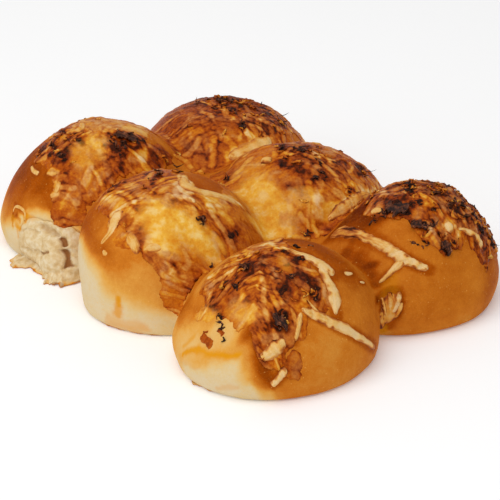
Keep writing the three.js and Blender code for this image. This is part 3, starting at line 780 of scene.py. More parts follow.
INNER_DABS = [
    *dabs(
        Look.COVER,
        (-16, 12, 16, 10, 14), (-8, 36, 14, 36, 16), (8, 60, 18, 58, 11), (26, 8, 29, 30, 5),
        (-26, 6, -14, 4, 4), (22, -10, 22, 0, 5), (26, 30, 26, 50, 4),
    ),
    *dabs(Look.COVER, (-12, 50, -16, 68, 4), (0, 52, 0, 78, 4.6), (14, 66, 16, 84, 3.4)),
    *dabs(Look.GOLDEN, (-14, 58, -16, 68, 2, 0.8), (0, 62, 0, 78, 2.6, 0.7)),
    *dabs(Look.CRISP, (-6, 30, 14, 36, 8, 0.45), (10, 58, 16, 52, 5, 0.5)),
    *dabs(
        Look.LACE,
        (12, 12, 22, 14, 3, 0.4), (20, 21, 26, 25, 3.5, 0.4), (24, 4, 28, 8, 3, 0.5),
        (10, 44, 20, 36, 7, 0.8), (-8, 30, 10, 32, 9, 0.7), (6, 18, 20, 20, 4, 0.5),
        (-24, 6, -16, 10, 5, 0.6),
    ),
    *dabs(
        Look.SCORCH,
        (-10, 32, 16, 40, 8, 0.25), (6, 52, 16, 52, 6, 0.3), (12, 26, 20, 25, 4, 0.3),
        (5, 20, 12, 21, 3, 0.5),
    ),
    *dabs(
        Look.GOLDEN,
        (-19, 12, -8, 11, 4), (-14, 20, -10, 23, 3), (26, 12, 28, 20, 2.4), (-6, 9, 4, 11, 3, 0.7),
        (22, 14, 26, 30, 4, 0.8), (23, 34, 26, 58, 3.6, 0.7), (-16, 14, -8, 18, 4, 0.6), (21, -12, 24, 0, 3),
        (14, 50, 16, 46, 1.4, 0.7), (4, 46, 7, 44, 1.2, 0.7), (-3, 21, 0, 23, 1.4, 0.6),
    ),
    *dabs(
        Look.MELT,
        (2, 2, 20, 2.6, 6.4, 0.85), (18, 12, 22, 18, 2.4, 0.5), (-12, 8, -6, 10, 4, 0.3), (18, 1, 21, -6, 4),
        (14, 7, 20, 7, 3, 0.7),
    ),
    *dabs(
        Look.TAN,
        (14, 18, 20, 14, 1.1, 0.6), (21, 22, 25, 19, 1.2, 0.7), (2, 35, 9, 32, 1.4, 0.6),
        (17, 45, 21, 47, 1.8, 0.7), (-3, 49, 4, 44, 2.6, 0.8), (-9, 33, -5, 30, 2, 0.6),
        (5, 14, 12, 15, 2, 0.5), (20, 5, 25, 11, 1.4, 0.6), (0, 43, 4, 40, 1.6, 0.6),
        (14, 34, 22, 33, 1.2, 0.6), (22, 60, 25, 46, 1.6, 0.7), (6, 25, 11, 27, 1, 0.6),
        (-12, 30, -6, 34, 1.2, 0.5),
    ),
    *dabs(
        Look.PALE,
        (28, 20, 29, 32, 1.6, 0.8), (7, 39, 10, 38, 1.4, 0.7), (22, 63, 25.6, 48, 1.4, 0.8),
        (6, 34, 9, 32.5, 1.4, 0.6), (22, 23, 23.5, 19, 1, 0.8), (28, 4, 30, 7, 1.6, 0.6),
        (27, 40, 28.5, 30, 1.3, 0.7), (4, 6, 10, 7, 1.6, 0.7), (16, 4, 18, 6, 1.4, 0.6),
    ),
    *dabs(
        Look.SCORCH,
        (-3, 28, 3, 28, 2.6), (-9, 26, -5, 24, 2.2), (7, 20, 12, 22, 2, 0.9), (0, 18.5, 4, 17.5, 1.3),
        (10, 47, 13, 40, 2.2, 0.85), (12, 58, 16, 52, 3), (-6, 37, 2, 32, 2, 0.8), (3, 24, 8, 22, 1.4, 0.8),
        (22, 57, 23, 52, 1.2, 0.7), (25, 42, 25.5, 36, 1.2, 0.8), (5, 30, 11, 26, 1, 0.7),
        (32, 22, 33, 16, 1.2, 0.7), (-18, 4, -12, 3.5, 1.6, 0.7), (13, 29, 19, 28.6, 1.2, 0.8),
        (16, 22, 19, 26, 1, 0.7), (1, 21, 6, 17, 0.8, 0.8), (14, 14, 20, 16, 1.6, 0.5),
    ),
    *dabs(
        Look.CHAR,
        (-1.5, 28, 2, 29, 1.4, 0.8), (-6.3, 24.6, -5.4, 24, 1), (10, 31.2, 10.6, 31, 1.2),
        (13.2, 26.3, 14.4, 28.6, 0.6), (14.4, 28.7, 17.5, 29, 0.7), (17.5, 29, 19.2, 27, 0.7),
        (16, 23.4, 17, 24.6, 1), (12.3, 58.6, 14, 55.5, 1.2), (25.1, 40, 25.6, 37, 0.6),
        (28.8, 11.5, 29.7, 8.6, 0.55), (-17, 4, -13, 3.4, 0.9), (2, 18.2, 3.2, 17.6, 0.8),
        (-1, 30.6, 1, 31.4, 0.8, 0.8), (8, 33, 9, 31, 0.7, 0.7),
    ),
]


def blurred(values: np.ndarray, passes: int) -> np.ndarray:
    """A grid of numbers after so many passes of (before + 2 here + after) / 4 along both ways."""
    for _ in range(passes):
        for axis in (0, 1):
            padded = np.pad(values, [(1, 1) if axis == way else (0, 0) for way in (0, 1)], mode="edge")
            before, after = (np.take(padded, range(k, k + values.shape[axis]), axis) for k in (0, 2))
            values = (before + 2 * values + after) / 4
    return values


@dataclass(frozen=True)
class Strand:
    """A melted shred strewn as a bent line: its middle, heading, bend, length, half width and thickness."""

    u: float
    v: float
    heading: float
    bend: float
    length: float
    width: float
    thick: float
    pale: float

    def line(self, steps: int = 9) -> np.ndarray:
        """Points along the line: the heading turns evenly by the bend from one end to the other."""
        share = np.linspace(-0.5, 0.5, steps)
        heading = self.heading + self.bend * share
        step = self.length / (steps - 1)
        way = np.stack([np.cos(heading), np.sin(heading)], axis=-1) * step
        line = np.cumsum(way, axis=0)
        return line - line[steps // 2] + np.array([self.u, self.v])


def away_from(line: np.ndarray, u: np.ndarray, v: np.ndarray) -> np.ndarray:
    """How far points are from a line of straight parts.

    Args:
        line: the line's points, (n, 2).
        u: the points' places along X over the crust.
        v: the same along Y.

    Returns:
        Distances in millimetres.
    """
    nearest = np.full(u.shape, 1e9)
    for (u0, v0), (u1, v1), length in zip(line[:-1], line[1:], np.hypot(*np.diff(line, axis=0).T)):
        way_u, way_v = (u1 - u0) / length, (v1 - v0) / length
        along = np.clip((u - u0) * way_u + (v - v0) * way_v, 0, length)
        nearest = np.minimum(nearest, np.hypot(u - u0 - along * way_u, v - v0 - along * way_v))
    return nearest


@dataclass
class Canvas:
    """The crust as a fine grid in (u, v), on which looks, melted shreds and relief are laid."""

    dough: Dough
    columns: int = 657
    rows: int = 507
    layers: tuple[list[Dab], ...] = (
        CRUST_DABS,
        FRONT_DABS,
        RIGHT_DABS,
        MIDDLE_DABS,
        LEFT_DABS,
        BACK_DABS,
        INNER_DABS,
    )
    wander: float = 1.3
    fray: float = 0.6

    def __post_init__(self) -> None:
        """Lays everything, from the crust up."""
        reach = self.dough.fan + self.dough.skirt
        self.u, self.v = np.meshgrid(
            np.linspace(-self.dough.core_x - reach, self.dough.core_x + reach, self.columns),
            np.linspace(-self.dough.core_y - reach, self.dough.core_y + reach, self.rows),
        )
        self.p = self.dough.over(self.u, self.v)
        self.normal = self.dough.outward(self.p)
        self.random = np.random.default_rng(20)
        self.frayed = noise(self.p, 1.9, 13)
        self.none = np.zeros(self.u.shape)
        self.looks = {look: self.none.copy() for look in Look}
        self.bake = self.crust_tone()
        self.tone = 0.55 + 0.2 * layered(self.p, 8, 3, 21)
        self.height = self.none.copy()
        self.pink = self.none.copy()
        self.dab_all()
        self.strew()
        self.relief()
        LOG.info("canvas of %d by %d points is laid", self.columns, self.rows)

    def crust_tone(self) -> np.ndarray:
        """How brown the bare crust is: golden brown, pale by the torn side's foot, lighter low down."""
        tone = 0.66 + 0.05 * layered(self.p, 18, 2, 5) + 0.03 * noise(self.p, 4.5, 6)
        tone = toward(tone, 0.22, 1 - ramp(self.v + 2 * noise(self.p, 9, 8), -99, -76))
        low = 1 - ramp(self.p[..., 2] + 1.2 * noise(self.p, 9, 7), 1, 12)
        return toward(tone, 0.5, 0.4 * low)

    def window(
        self, low: tuple[float, float], high: tuple[float, float], margin: float
    ) -> tuple[slice, slice]:
        """The part of the grid within a margin around two corners (u, v)."""
        parts = []
        for axis, (grid, count) in enumerate(((self.v[:, 0], self.rows), (self.u[0], self.columns))):
            step = grid[1] - grid[0]
            first = int((low[1 - axis] - margin - grid[0]) / step)
            last = int((high[1 - axis] + margin - grid[0]) / step) + 2
            parts.append(slice(max(first, 0), max(min(last, count), 1)))
        return parts[0], parts[1]

    def dab_all(self) -> None:
        """Lays all dabs with wandering, frayed edges."""
        u = self.u + self.wander * noise(self.p, 7, 11) + self.fray * self.frayed
        v = self.v + self.wander * noise(self.p, 7, 12) + self.fray * noise(self.p, 1.9, 14)
        for dab in (dab for layer in self.layers for dab in layer):
            low, high = (min(dab.u0, dab.u1), min(dab.v0, dab.v1)), (max(dab.u0, dab.u1), max(dab.v0, dab.v1))
            at = self.window(low, high, 1.5 * dab.width + 3)
            self.dab(dab, at, dab.cover(u[at], v[at]))

    def dab(self, dab: Dab, at: tuple[slice, slice], cover: np.ndarray) -> None:
        """Lays one dab on what is there.

        Args:
            dab: the dab.
            at: the part of the grid.
            cover: how much of the dab is at each point of that part.
        """
        look = dab.look
        cheese = self.looks[Look.COVER]
        if look in CHEESE_TONES:
            self.tone[at] = toward(self.tone[at], CHEESE_TONES[look], 0.8 * cover)
            cheese[at] = np.maximum(cheese[at], np.minimum(1.3 * cover, 1))
        if look in CRUST_TONES:
            self.bake[at] = toward(self.bake[at], CRUST_TONES[look], cover)
        if look in (Look.BARE, Look.DOUGH):
            cheese[at] *= 1 - cover
        self.looks[look][at] = np.maximum(self.looks[look][at], cover)

    def fibres(self) -> np.ndarray:
        """Noise drawn out downhill: fine around each roll's crown and long away from it."""
        total, least = self.none.copy(), self.none + 1e9
        for number, roll in enumerate(self.dough.rolls.values()):
            depth = roll.depth(self.p)
            x, y = self.p[..., 0] - roll.x - roll.lean_x, self.p[..., 1] - roll.y - roll.lean_y
            away = np.hypot(x, y) + 3 * noise(self.p, 8, 51)
            turn = np.arctan2(y, x) + 0.22 * noise(self.p, 12, 52) + 0.05 * noise(self.p, 3, 53)
            place = np.stack([away / 5.5, np.cos(turn) * 11, np.sin(turn) * 11 + 40 * number], axis=-1)
            drawn = 0.6 * noise(place, 1, 54) + 0.6 * noise(place * [1.7, 2.1, 2.1], 1, 55)
            total = np.where(depth < least, drawn, total)
            least = np.minimum(depth, least)
        return total

    def pick(self, weight: np.ndarray, count: int) -> np.ndarray:
        """Grid places drawn by weight: (count) flat numbers."""
        share = weight.ravel() / weight.sum()
        return self.random.choice(share.size, count, p=share)

    def strew(self, count: int = 620) -> None:
        """Strews melted shreds over the cheese: pale inside, softly browned along both edges, some dry."""
        cheese = self.looks[Look.COVER]
        downhill = np.arctan2(self.normal[..., 1], self.normal[..., 0])
        for place in self.pick(ramp(cheese, 0.35, 0.8) * (1.05 - self.looks[Look.MELT]), count):
            strand = Strand(
                self.u.flat[place],
                self.v.flat[place],
                downhill.flat[place] + self.random.normal(0, 0.75),
                self.random.normal(0, 1.3),
                self.random.uniform(4, 14),
                self.random.uniform(0.7, 2.2),
                self.random.uniform(0.15, 0.5),
                self.random.uniform(-0.06, 0.2),
            )
            line = strand.line()
            at = self.window(line.min(axis=0), line.max(axis=0), 2 * strand.width)
            away = away_from(line, self.u[at], self.v[at])
            away = away / strand.width + 0.28 * self.frayed[at]
            body = 1 - ramp(away, 0.5, 1.15)
            ring = np.exp(-(((away - 1.15) / 0.34) ** 2))
            smooth = self.looks[Look.MELT][at]
            show = ramp(cheese[at], 0.02, 0.3) * (1 - 0.8 * smooth)
            self.tone[at] += show * (0.085 * ring - strand.pale * body)
            self.pink[at] = np.maximum(self.pink[at], self.random.uniform(-0.5, 0.65) * body * show)
            cheese[at] = np.maximum(cheese[at], 0.75 * body * ramp(cheese[at], 0.0, 0.25))
            risen = strand.thick * np.sqrt(np.clip(1 - away**2, 0, 1)) * (1 - 0.6 * smooth)
            self.height[at] = np.maximum(self.height[at], 0.45 * self.height[at] + risen)

    def relief(self) -> None:
        """Raises crisp lumps and wrinkles, browns what stands up on the crisp lumps, darkens low-lying cheese
        as painted shade in its hollows, gives the crisp ridges a pale ash that is partly painted highlight,
        and works out the sheet's lift.
        """
        cheese, crisp, melt = (self.looks[look] for look in (Look.COVER, Look.CRISP, Look.MELT))
        char, scorch = self.looks[Look.CHAR], self.looks[Look.SCORCH]
        self.height = toward(blurred(self.height, 2), blurred(self.height, 12), melt)
        lumps = layered(self.p, 3.4, 3, 31, ridged=True)
        wrinkles = layered(self.p, 5.5, 3, 33)
        fine = noise(self.p, 0.95, 35)
        rough = np.maximum(crisp, 0.45 * scorch)
        self.height += rough * (0.6 * lumps + 0.15 * fine + 0.35) + 0.42 * wrinkles * (1 - 0.4 * melt)
        self.height += 0.5 * noise(self.p, 12, 46) + 0.07 * fine * (1 - melt)
        gaps = noise(self.p, 1.7, 47) + 0.7 * noise(self.p, 0.9, 49)
        around = ramp(blurred(char, 10), 0.08, 0.5)
        char = np.clip(char * ramp(gaps, -0.55, 0.05), 0, 1)
        self.tone = toward(self.tone, 0.9, 0.6 * around)
        self.height += char * (0.3 + 0.5 * noise(self.p, 1.3, 36)) + 0.25 * around * noise(self.p, 1.8, 50)
        fibres = self.fibres()
        lace = np.maximum(self.looks[Look.LACE], scorch)
        soft = self.looks[Look.SOFT]
        calm = 1 - 0.6 * soft
        self.tone += (0.05 + 0.05 * lace) * fibres * (1 - 0.7 * melt) * calm
        self.height += 0.15 * fibres * (1 - 0.7 * melt)
        # Outside the crisp lumps the cheese is darker where it lies low and paler where it stands up: painted
        # shade and light, with some oil pooled in the hollows.
        self.tone += calm * (0.1 * rough * lumps - 0.14 * (1 - rough) * (self.height - 0.35))
        # On the crisp lumps the pale ash colour goes on the raised ridges: dry crisp cheese, and a painted
        # highlight on what stands up.
        self.dry = 0.5 * crisp * ramp(lumps + 0.5 * fine, 0.0, 0.7)
        self.dry += 0.22 * ramp(noise(self.p, 5, 48), 0.2, 0.8) * (1 - melt)
        self.dry += 0.8 * self.looks[Look.TAN] * ramp(fibres + 0.3, -0.3, 0.5) + 0.7 * self.pink
        self.dry = np.clip(self.dry * (1 - 0.7 * char), 0, 1)
        self.tone += 0.05 + 0.07 * noise(self.p, 1.1, 37) + 0.05 * noise(self.p, 0.6, 38)
        busy = np.maximum(scorch, 0.8 * crisp) * (1 - melt)
        self.tone += busy * calm * 0.34 * layered(self.p, 2.6, 3, 45)
        self.cover = ramp(cheese, 0.08, 0.5)
        self.tone += 0.1 * (1 - ramp(cheese, 0.3, 0.8)) * (1 - soft)
        crest = 1 - 0.75 * ramp(self.p[..., 2], 45.5, 49)
        self.lift = -0.9 + (1.12 - 0.2 * soft) * self.cover
        self.lift += crest * self.height * self.cover * (1 - 0.6 * soft)
        self.bake += 0.07 * blurred(self.cover, 22) * (1 - self.cover)
        self.crust = 0.1 * layered(self.p, 7, 2, 41) + 0.025 * noise(self.p, 1.7, 43)
        self.crust -= 0.4 * ramp(cheese, 0.4, 0.9) + 5.5 * self.looks[Look.CRUMB]
        burnt = ramp(blurred(np.maximum(char, 0.4 * scorch), 12), 0.03, 0.4)
        speck = (1 - melt) * ramp(noise(self.p, 0.8, 39), 0.42, 0.54) * burnt
        self.char = np.clip(np.maximum(char, 0.7 * speck), 0, 1)
        self.smooth_top = blurred(self.top(), 8)

    def on_crust(self) -> np.ndarray:
        """The bread's own surface, in millimetres, (rows, columns, 3)."""
        return self.p + self.normal * self.crust[..., None]

    def on_cheese(self) -> np.ndarray:
        """The cheese sheet's surface, which goes under the crust where there is none."""
        return self.p + self.normal * (self.lift + 0.6 * np.maximum(self.crust, -0.2))[..., None]

    def at_place(self, values: np.ndarray, u: np.ndarray, v: np.ndarray) -> np.ndarray:
        """Values of the grid at any (u, v), blended between the four points around."""
        column = np.clip((u - self.u[0, 0]) / (self.u[0, 1] - self.u[0, 0]), 0, self.columns - 1.001)
        row = np.clip((v - self.v[0, 0]) / (self.v[1, 0] - self.v[0, 0]), 0, self.rows - 1.001)
        c, r = column.astype(int), row.astype(int)
        share_c, share_r = column - c, row - r
        if values.ndim > 2:
            share_c, share_r = share_c[..., None], share_r[..., None]
        near = values[r, c] * (1 - share_c) + values[r, c + 1] * share_c
        far = values[r + 1, c] * (1 - share_c) + values[r + 1, c + 1] * share_c
        return near * (1 - share_r) + far * share_r

    def ground(self, u: np.ndarray, v: np.ndarray) -> tuple[np.ndarray, np.ndarray]:
        """The smooth crust and its outward way at any (u, v)."""
        return self.at_place(self.p, u, v), self.at_place(self.normal, u, v)

    def shadow_and_browning_ring(self, line: np.ndarray, half: float, strength: float) -> None:
        """Darkens the crust around a shred, out to about 1.5 mm from its edge, by a strength from 0 to 1:
        painted shadow of the shred on the crust, together with crust browned along its edge.
        """
        at = self.window(line.min(axis=0), line.max(axis=0), half + 3)
        away = away_from(line, self.u[at], self.v[at])
        near = 1 - ramp(away + 0.4 * self.frayed[at], half, half + 1.7)
        self.bake[at] = toward(self.bake[at], 0.9, strength * near)

    def top(self) -> np.ndarray:
        """What lies uppermost at each point, above the smooth crust, in millimetres."""
        return np.maximum(self.crust, self.lift)


# ---- Meshes ----


@dataclass
class Shape:
    """A closed skin: points in millimetres, faces of four (a repeated last corner makes three) and marks."""

    points: np.ndarray
    faces: np.ndarray
    marks: dict[str, np.ndarray]


def whole(inside: np.ndarray) -> np.ndarray:
    """Which cells of a grid have all four corners inside, (rows - 1, columns - 1)."""
    return inside[:-1, :-1] & inside[1:, :-1] & inside[:-1, 1:] & inside[1:, 1:]


def joined(shapes: list[Shape]) -> Shape:
    """Several shapes with the same marks as one."""
    starts = np.cumsum([0] + [len(shape.points) for shape in shapes[:-1]])
    marks = {name: np.concatenate([shape.marks[name] for shape in shapes]) for name in shapes[0].marks}
    faces = np.concatenate([shape.faces + start for shape, start in zip(shapes, starts)])
    return Shape(np.concatenate([shape.points for shape in shapes]), faces, marks)


def grid_faces(rows: int, columns: int, start: int = 0) -> np.ndarray:
    """Faces of a grid of points, seen from the side where rows go up and columns go right, (n, 4)."""
    place = np.arange(rows * columns).reshape(rows, columns) + start
    return np.stack([place[:-1, :-1], place[:-1, 1:], place[1:, 1:], place[1:, :-1]], axis=-1).reshape(-1, 4)


def shell(
    top: np.ndarray, bottom: np.ndarray, marks: dict[str, np.ndarray], kept: np.ndarray | None = None
) -> Shape:
    """A closed shell: the kept cells of a grid on top, the same cells below, and walls around.

    Args:
        top: points of the upper side, (rows, columns, 3).
        bottom: points of the lower side, (rows, columns, 3).
        marks: numbers for each grid point, (rows, columns) each.
        kept: which cells of the grid there are, (rows - 1, columns - 1), or all.

    Returns:
        The shell.
    """
    rows, columns = top.shape[:2]
    kept = np.ones((rows - 1, columns - 1), bool) if kept is None else kept
    cells = grid_faces(rows, columns).reshape(rows - 1, columns - 1, 4)
    upper = cells[kept]
    used = np.unique(upper)
    number = np.full(rows * columns, -1)
    number[used] = np.arange(len(used))
    upper = number[upper]
    padded = np.pad(kept, 1)
    walls = []
    sides = (((-1, 0), (0, 1)), ((0, 1), (1, 2)), ((1, 0), (2, 3)), ((0, -1), (3, 0)))
    for (step_row, step_column), (a, b) in sides:
        beside = padded[1 + step_row : rows + step_row, 1 + step_column : columns + step_column]
        edge = number[cells[kept & ~beside]]
        here, there = edge[:, a], edge[:, b]
        walls.append(np.stack([there, here, here + len(used), there + len(used)], axis=-1))
    faces = np.concatenate([upper, upper[:, ::-1] + len(used), *walls])
    points = np.concatenate([top.reshape(-1, 3)[used], bottom.reshape(-1, 3)[used]])
    return Shape(points, faces, {name: np.tile(value.ravel()[used], 2) for name, value in marks.items()})


def shown(name: str, data: bpy.types.ID) -> bpy.types.Object:
    """A new object in the scene."""
    made = bpy.data.objects.new(name, data)
    bpy.context.scene.collection.objects.link(made)
    return made


@dataclass
class Workshop:
    """Turns shapes into pieces of the scene: metres, in the CAD frame, on the one body."""

    shift: np.ndarray = field(default_factory=lambda: np.zeros(3))
    count: int = 0

    def make(self, name: str, shape: Shape, finish: "Finish", nodes: tuple[str, ...] = ()) -> None:
        """Makes a piece.

        Args:
            name: its name.
            shape: its closed skin.
            finish: the finish it wears.
            nodes: the CAD nodes it stands for.
        """
        mesh = bpy.data.meshes.new(name)
        three = shape.faces[:, 3] == shape.faces[:, 2]
        sizes = np.where(three, 3, 4)
        starts = np.concatenate([[0], np.cumsum(sizes)[:-1]])
        keep = np.ones(shape.faces.shape, bool)
        keep[three, 3] = False
        corners = shape.faces[keep]
        mesh.vertices.add(len(shape.points))
        mesh.vertices.foreach_set("co", ((shape.points + self.shift) * MM).astype(np.float32).ravel())
        mesh.loops.add(len(corners))
        mesh.loops.foreach_set("vertex_index", corners.astype(np.int32))
        mesh.polygons.add(len(shape.faces))
        mesh.polygons.foreach_set("loop_start", starts.astype(np.int32))
        mesh.polygons.foreach_set("loop_total", sizes.astype(np.int32))
        mesh.update(calc_edges=True)
        mesh.shade_smooth()
        for mark, values in shape.marks.items():
            mesh.attributes.new(mark, "FLOAT", "POINT").data.foreach_set("value", values.astype(np.float32))
        mesh.materials.append(finish.material())
        piece = shown(name, mesh)
        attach(piece, "root")
        for node in nodes:
            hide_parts(node)
        self.count += int((sizes - 2).sum())
        LOG.info("%s: %d triangles", name, (sizes - 2).sum())


def many(tops: np.ndarray, bottoms: np.ndarray, marks: dict[str, np.ndarray]) -> Shape:
    """Many small closed shells of one pattern as one shape.

    Args:
        tops: the upper points of each, (pieces, rows, columns, 3).
        bottoms: the lower points of each.
        marks: numbers for each upper point, (pieces, rows, columns) each.

    Returns:
        All of them.
    """
    pieces, rows, columns = tops.shape[:3]
    pattern = shell(tops[0], bottoms[0], {}).faces
    size = 2 * rows * columns
    faces = (pattern[None] + size * np.arange(pieces)[:, None, None]).reshape(-1, 4)
    points = np.concatenate([side.reshape(pieces, -1, 3) for side in (tops, bottoms)], axis=1).reshape(-1, 3)
    doubled = {name: np.tile(value.reshape(pieces, -1), (1, 2)).ravel() for name, value in marks.items()}
    return Shape(points, faces, doubled)


# ---- Finishes ----


def display(red: float, green: float, blue: float) -> tuple[float, float, float, float]:
    """A colour as a screen shows it (0 to 255) as the linear colour that a shader wants."""
    shares = np.array([red, green, blue]) / 255
    linear = np.where(shares > 0.04045, ((shares + 0.055) / 1.055) ** 2.4, shares / 12.92)
    return (*linear.tolist(), 1.0)


class Wiring:
    """Adds shader nodes to a tree, one method for each kind, and links what it is given."""

    def __init__(self, tree: bpy.types.NodeTree) -> None:
        """Keeps the tree."""
        self.tree = tree

    def put(self, socket: Socket, value: object) -> None:
        """Links an output to the socket, or sets a constant on it."""
        if isinstance(value, Socket):
            self.tree.links.new(value, socket)
        else:
            socket.default_value = value

    def node(self, kind: str, **inputs: object) -> bpy.types.Node:
        """Adds a node and feeds its inputs by name (underscores stand for spaces)."""
        node = self.tree.nodes.new(kind)
        for name, value in inputs.items():
            self.put(node.inputs[name.replace("_", " ")], value)
        return node

    def factor(self, node: bpy.types.Node) -> Socket:
        """The node's plain number, by either of its names."""
        return node.outputs["Factor"] if "Factor" in node.outputs else node.outputs["Fac"]

    def math(self, rule: str, a: object, b: object) -> Socket:
        """The result of a rule on two numbers."""
        node = self.node("ShaderNodeMath")
        node.operation = rule
        self.put(node.inputs[0], a)
        self.put(node.inputs[1], b)
        return node.outputs[0]

    def add(self, a: object, b: object, share: float) -> Socket:
        """A number with a share of another added to it."""
        return self.math("ADD", a, self.math("MULTIPLY", b, share))

    def vary(self, value: object, *patterns: tuple[object, float]) -> Socket:
        """The value moved up and down by patterns from 0 to 1, each with the reach of its moves."""
        for pattern, reach in patterns:
            value = self.add(value, self.math("SUBTRACT", pattern, 0.5), reach)
        return value

    def noise(self, point: object, size: float, detail: float = 2.0, rough: float = 0.5) -> Socket:
        """Noise from 0 to 1 whose coarsest lumps have a size in millimetres."""
        scale = 1000 / size
        return self.factor(
            self.node("ShaderNodeTexNoise", Vector=point, Scale=scale, Detail=detail, Roughness=rough)
        )

    def dots(self, point: object, size: float) -> Socket:
        """How far the nearest of strewn points is, in cells of a size in millimetres."""
        return self.node("ShaderNodeTexVoronoi", Vector=point, Scale=1000 / size).outputs["Distance"]

    def between(self, value: object, low: float, high: float, a: float = 0.0, b: float = 1.0) -> Socket:
        """The value from low to high turned into a to b in an S-curve."""
        node = self.node("ShaderNodeMapRange")
        node.interpolation_type = "SMOOTHSTEP"
        for socket, given in zip(node.inputs, (value, low, high, a, b)):
            self.put(socket, given)
        return node.outputs[0]

    def ramp(self, value: object, *stops: tuple[float, tuple[float, float, float]]) -> Socket:
        """The colour at a value between stops (place, display colour)."""
        node = self.node("ShaderNodeValToRGB")
        self.put(node.inputs[0], value)
        elements = node.color_ramp.elements
        elements.remove(elements[1])
        for number, (place, colour) in enumerate(stops):
            element = elements.new(place) if number else elements[0]
            element.position, element.color = place, display(*colour)
        return node.outputs["Color"]

    def mix(self, share: object, a: object, b: object) -> Socket:
        """Two colours mixed by a share."""
        node = self.node("ShaderNodeMix")
        node.data_type = "RGBA"
        colours = [socket for socket in node.inputs if socket.type == "RGBA"]
        self.put(node.inputs[0], share)
        self.put(colours[0], a)
        self.put(colours[1], b)
        return next(socket for socket in node.outputs if socket.type == "RGBA")

    def mark(self, name: str) -> Socket:
        """The number of that name at each point of the piece."""
        node = self.node("ShaderNodeAttribute")
        node.attribute_name = name
        return self.factor(node)


def new_material(name: str) -> tuple[bpy.types.Material, Wiring, bpy.types.Node]:
    """A new material with its wiring and its Principled shader."""
    made = bpy.data.materials.new(name)
    made.use_nodes = True
    shader = next(node for node in made.node_tree.nodes if node.type == "BSDF_PRINCIPLED")
    return made, Wiring(made.node_tree), shader


class Effect:
    """A shared effect: a group of shader nodes with named inputs and outputs."""

    made: dict[str, bpy.types.NodeTree] = {}

    def __init__(self, name: str, inputs: tuple[str, ...], outputs: dict[str, str]) -> None:
        """Starts the group: inputs are numbers, but for Point, a place; outputs come with their kinds."""
        self.tree = bpy.data.node_groups.new(name, "ShaderNodeTree")
        for given in inputs:
            kind = "NodeSocketVector" if given == "Point" else "NodeSocketFloat"
            self.tree.interface.new_socket(name=given, in_out="INPUT", socket_type=kind)
        for result, kind in outputs.items():
            self.tree.interface.new_socket(name=result, in_out="OUTPUT", socket_type=kind)
        self.wiring = Wiring(self.tree)
        self.given = self.tree.nodes.new("NodeGroupInput").outputs
        self.results = self.tree.nodes.new("NodeGroupOutput").inputs
        Effect.made[name] = self.tree

    def end(self, **results: object) -> bpy.types.NodeTree:
        """Links the results and returns the group."""
        for name, value in results.items():
            self.wiring.put(self.results[name], value)
        return self.tree


COLOUR_AND_GRAIN = {"Color": "NodeSocketColor", "Grain": "NodeSocketFloat", "Roughness": "NodeSocketFloat"}


def crust_effect() -> bpy.types.NodeTree:
    """Baked crust: colour by how far it is baked, fine pale specks, orange oil and torn crumb."""
    effect = Effect("baked_crust", ("Bake", "Oil", "Crumb", "Point"), COLOUR_AND_GRAIN)
    w, given = effect.wiring, effect.given
    point = given["Point"]
    broad, mottle, grain = w.noise(point, 9, 3), w.noise(point, 1.6, 3, 0.6), w.noise(point, 0.45, 2, 0.6)
    tone = w.vary(given["Bake"], (broad, 0.22), (mottle, 0.12), (grain, 0.12))
    colour = w.ramp(
        tone,
        (0.0, (221, 201, 164)),
        (0.1, (222, 194, 142)),
        (0.22, (225, 184, 114)),
        (0.4, (223, 160, 70)),
        (0.6, (204, 119, 32)),
        (0.8, (167, 77, 3)),
        (1.0, (98, 32, 0)),
    )
    dots = w.between(w.dots(point, 1.9), 0.05, 0.17, 0.5, 0.0)
    dots = w.math("MULTIPLY", dots, w.between(w.noise(point, 5, 1), 0.4, 0.55))
    fine_dots = w.between(w.dots(point, 0.8), 0.1, 0.3, 0.12, 0.0)
    colour = w.mix(w.math("ADD", dots, fine_dots), colour, display(238, 178, 92))
    colour = w.mix(w.math("MULTIPLY", given["Oil"], 0.95), colour, display(222, 146, 14))
    pore = w.noise(point, 2.2, 3, 0.5)
    flesh = w.ramp(pore, (0.3, (206, 172, 120)), (0.5, (220, 194, 148)), (0.68, (231, 213, 178)))
    flesh = w.mix(w.between(given["Bake"], 0.3, 0.9, 0.0, 0.95), flesh, display(146, 92, 46))
    colour = w.mix(given["Crumb"], colour, flesh)
    rough = w.add(w.between(grain, 0.3, 0.7, 0.46, 0.6), given["Crumb"], 0.35)
    return effect.end(Color=colour, Grain=w.add(mottle, grain, 0.6), Roughness=rough)


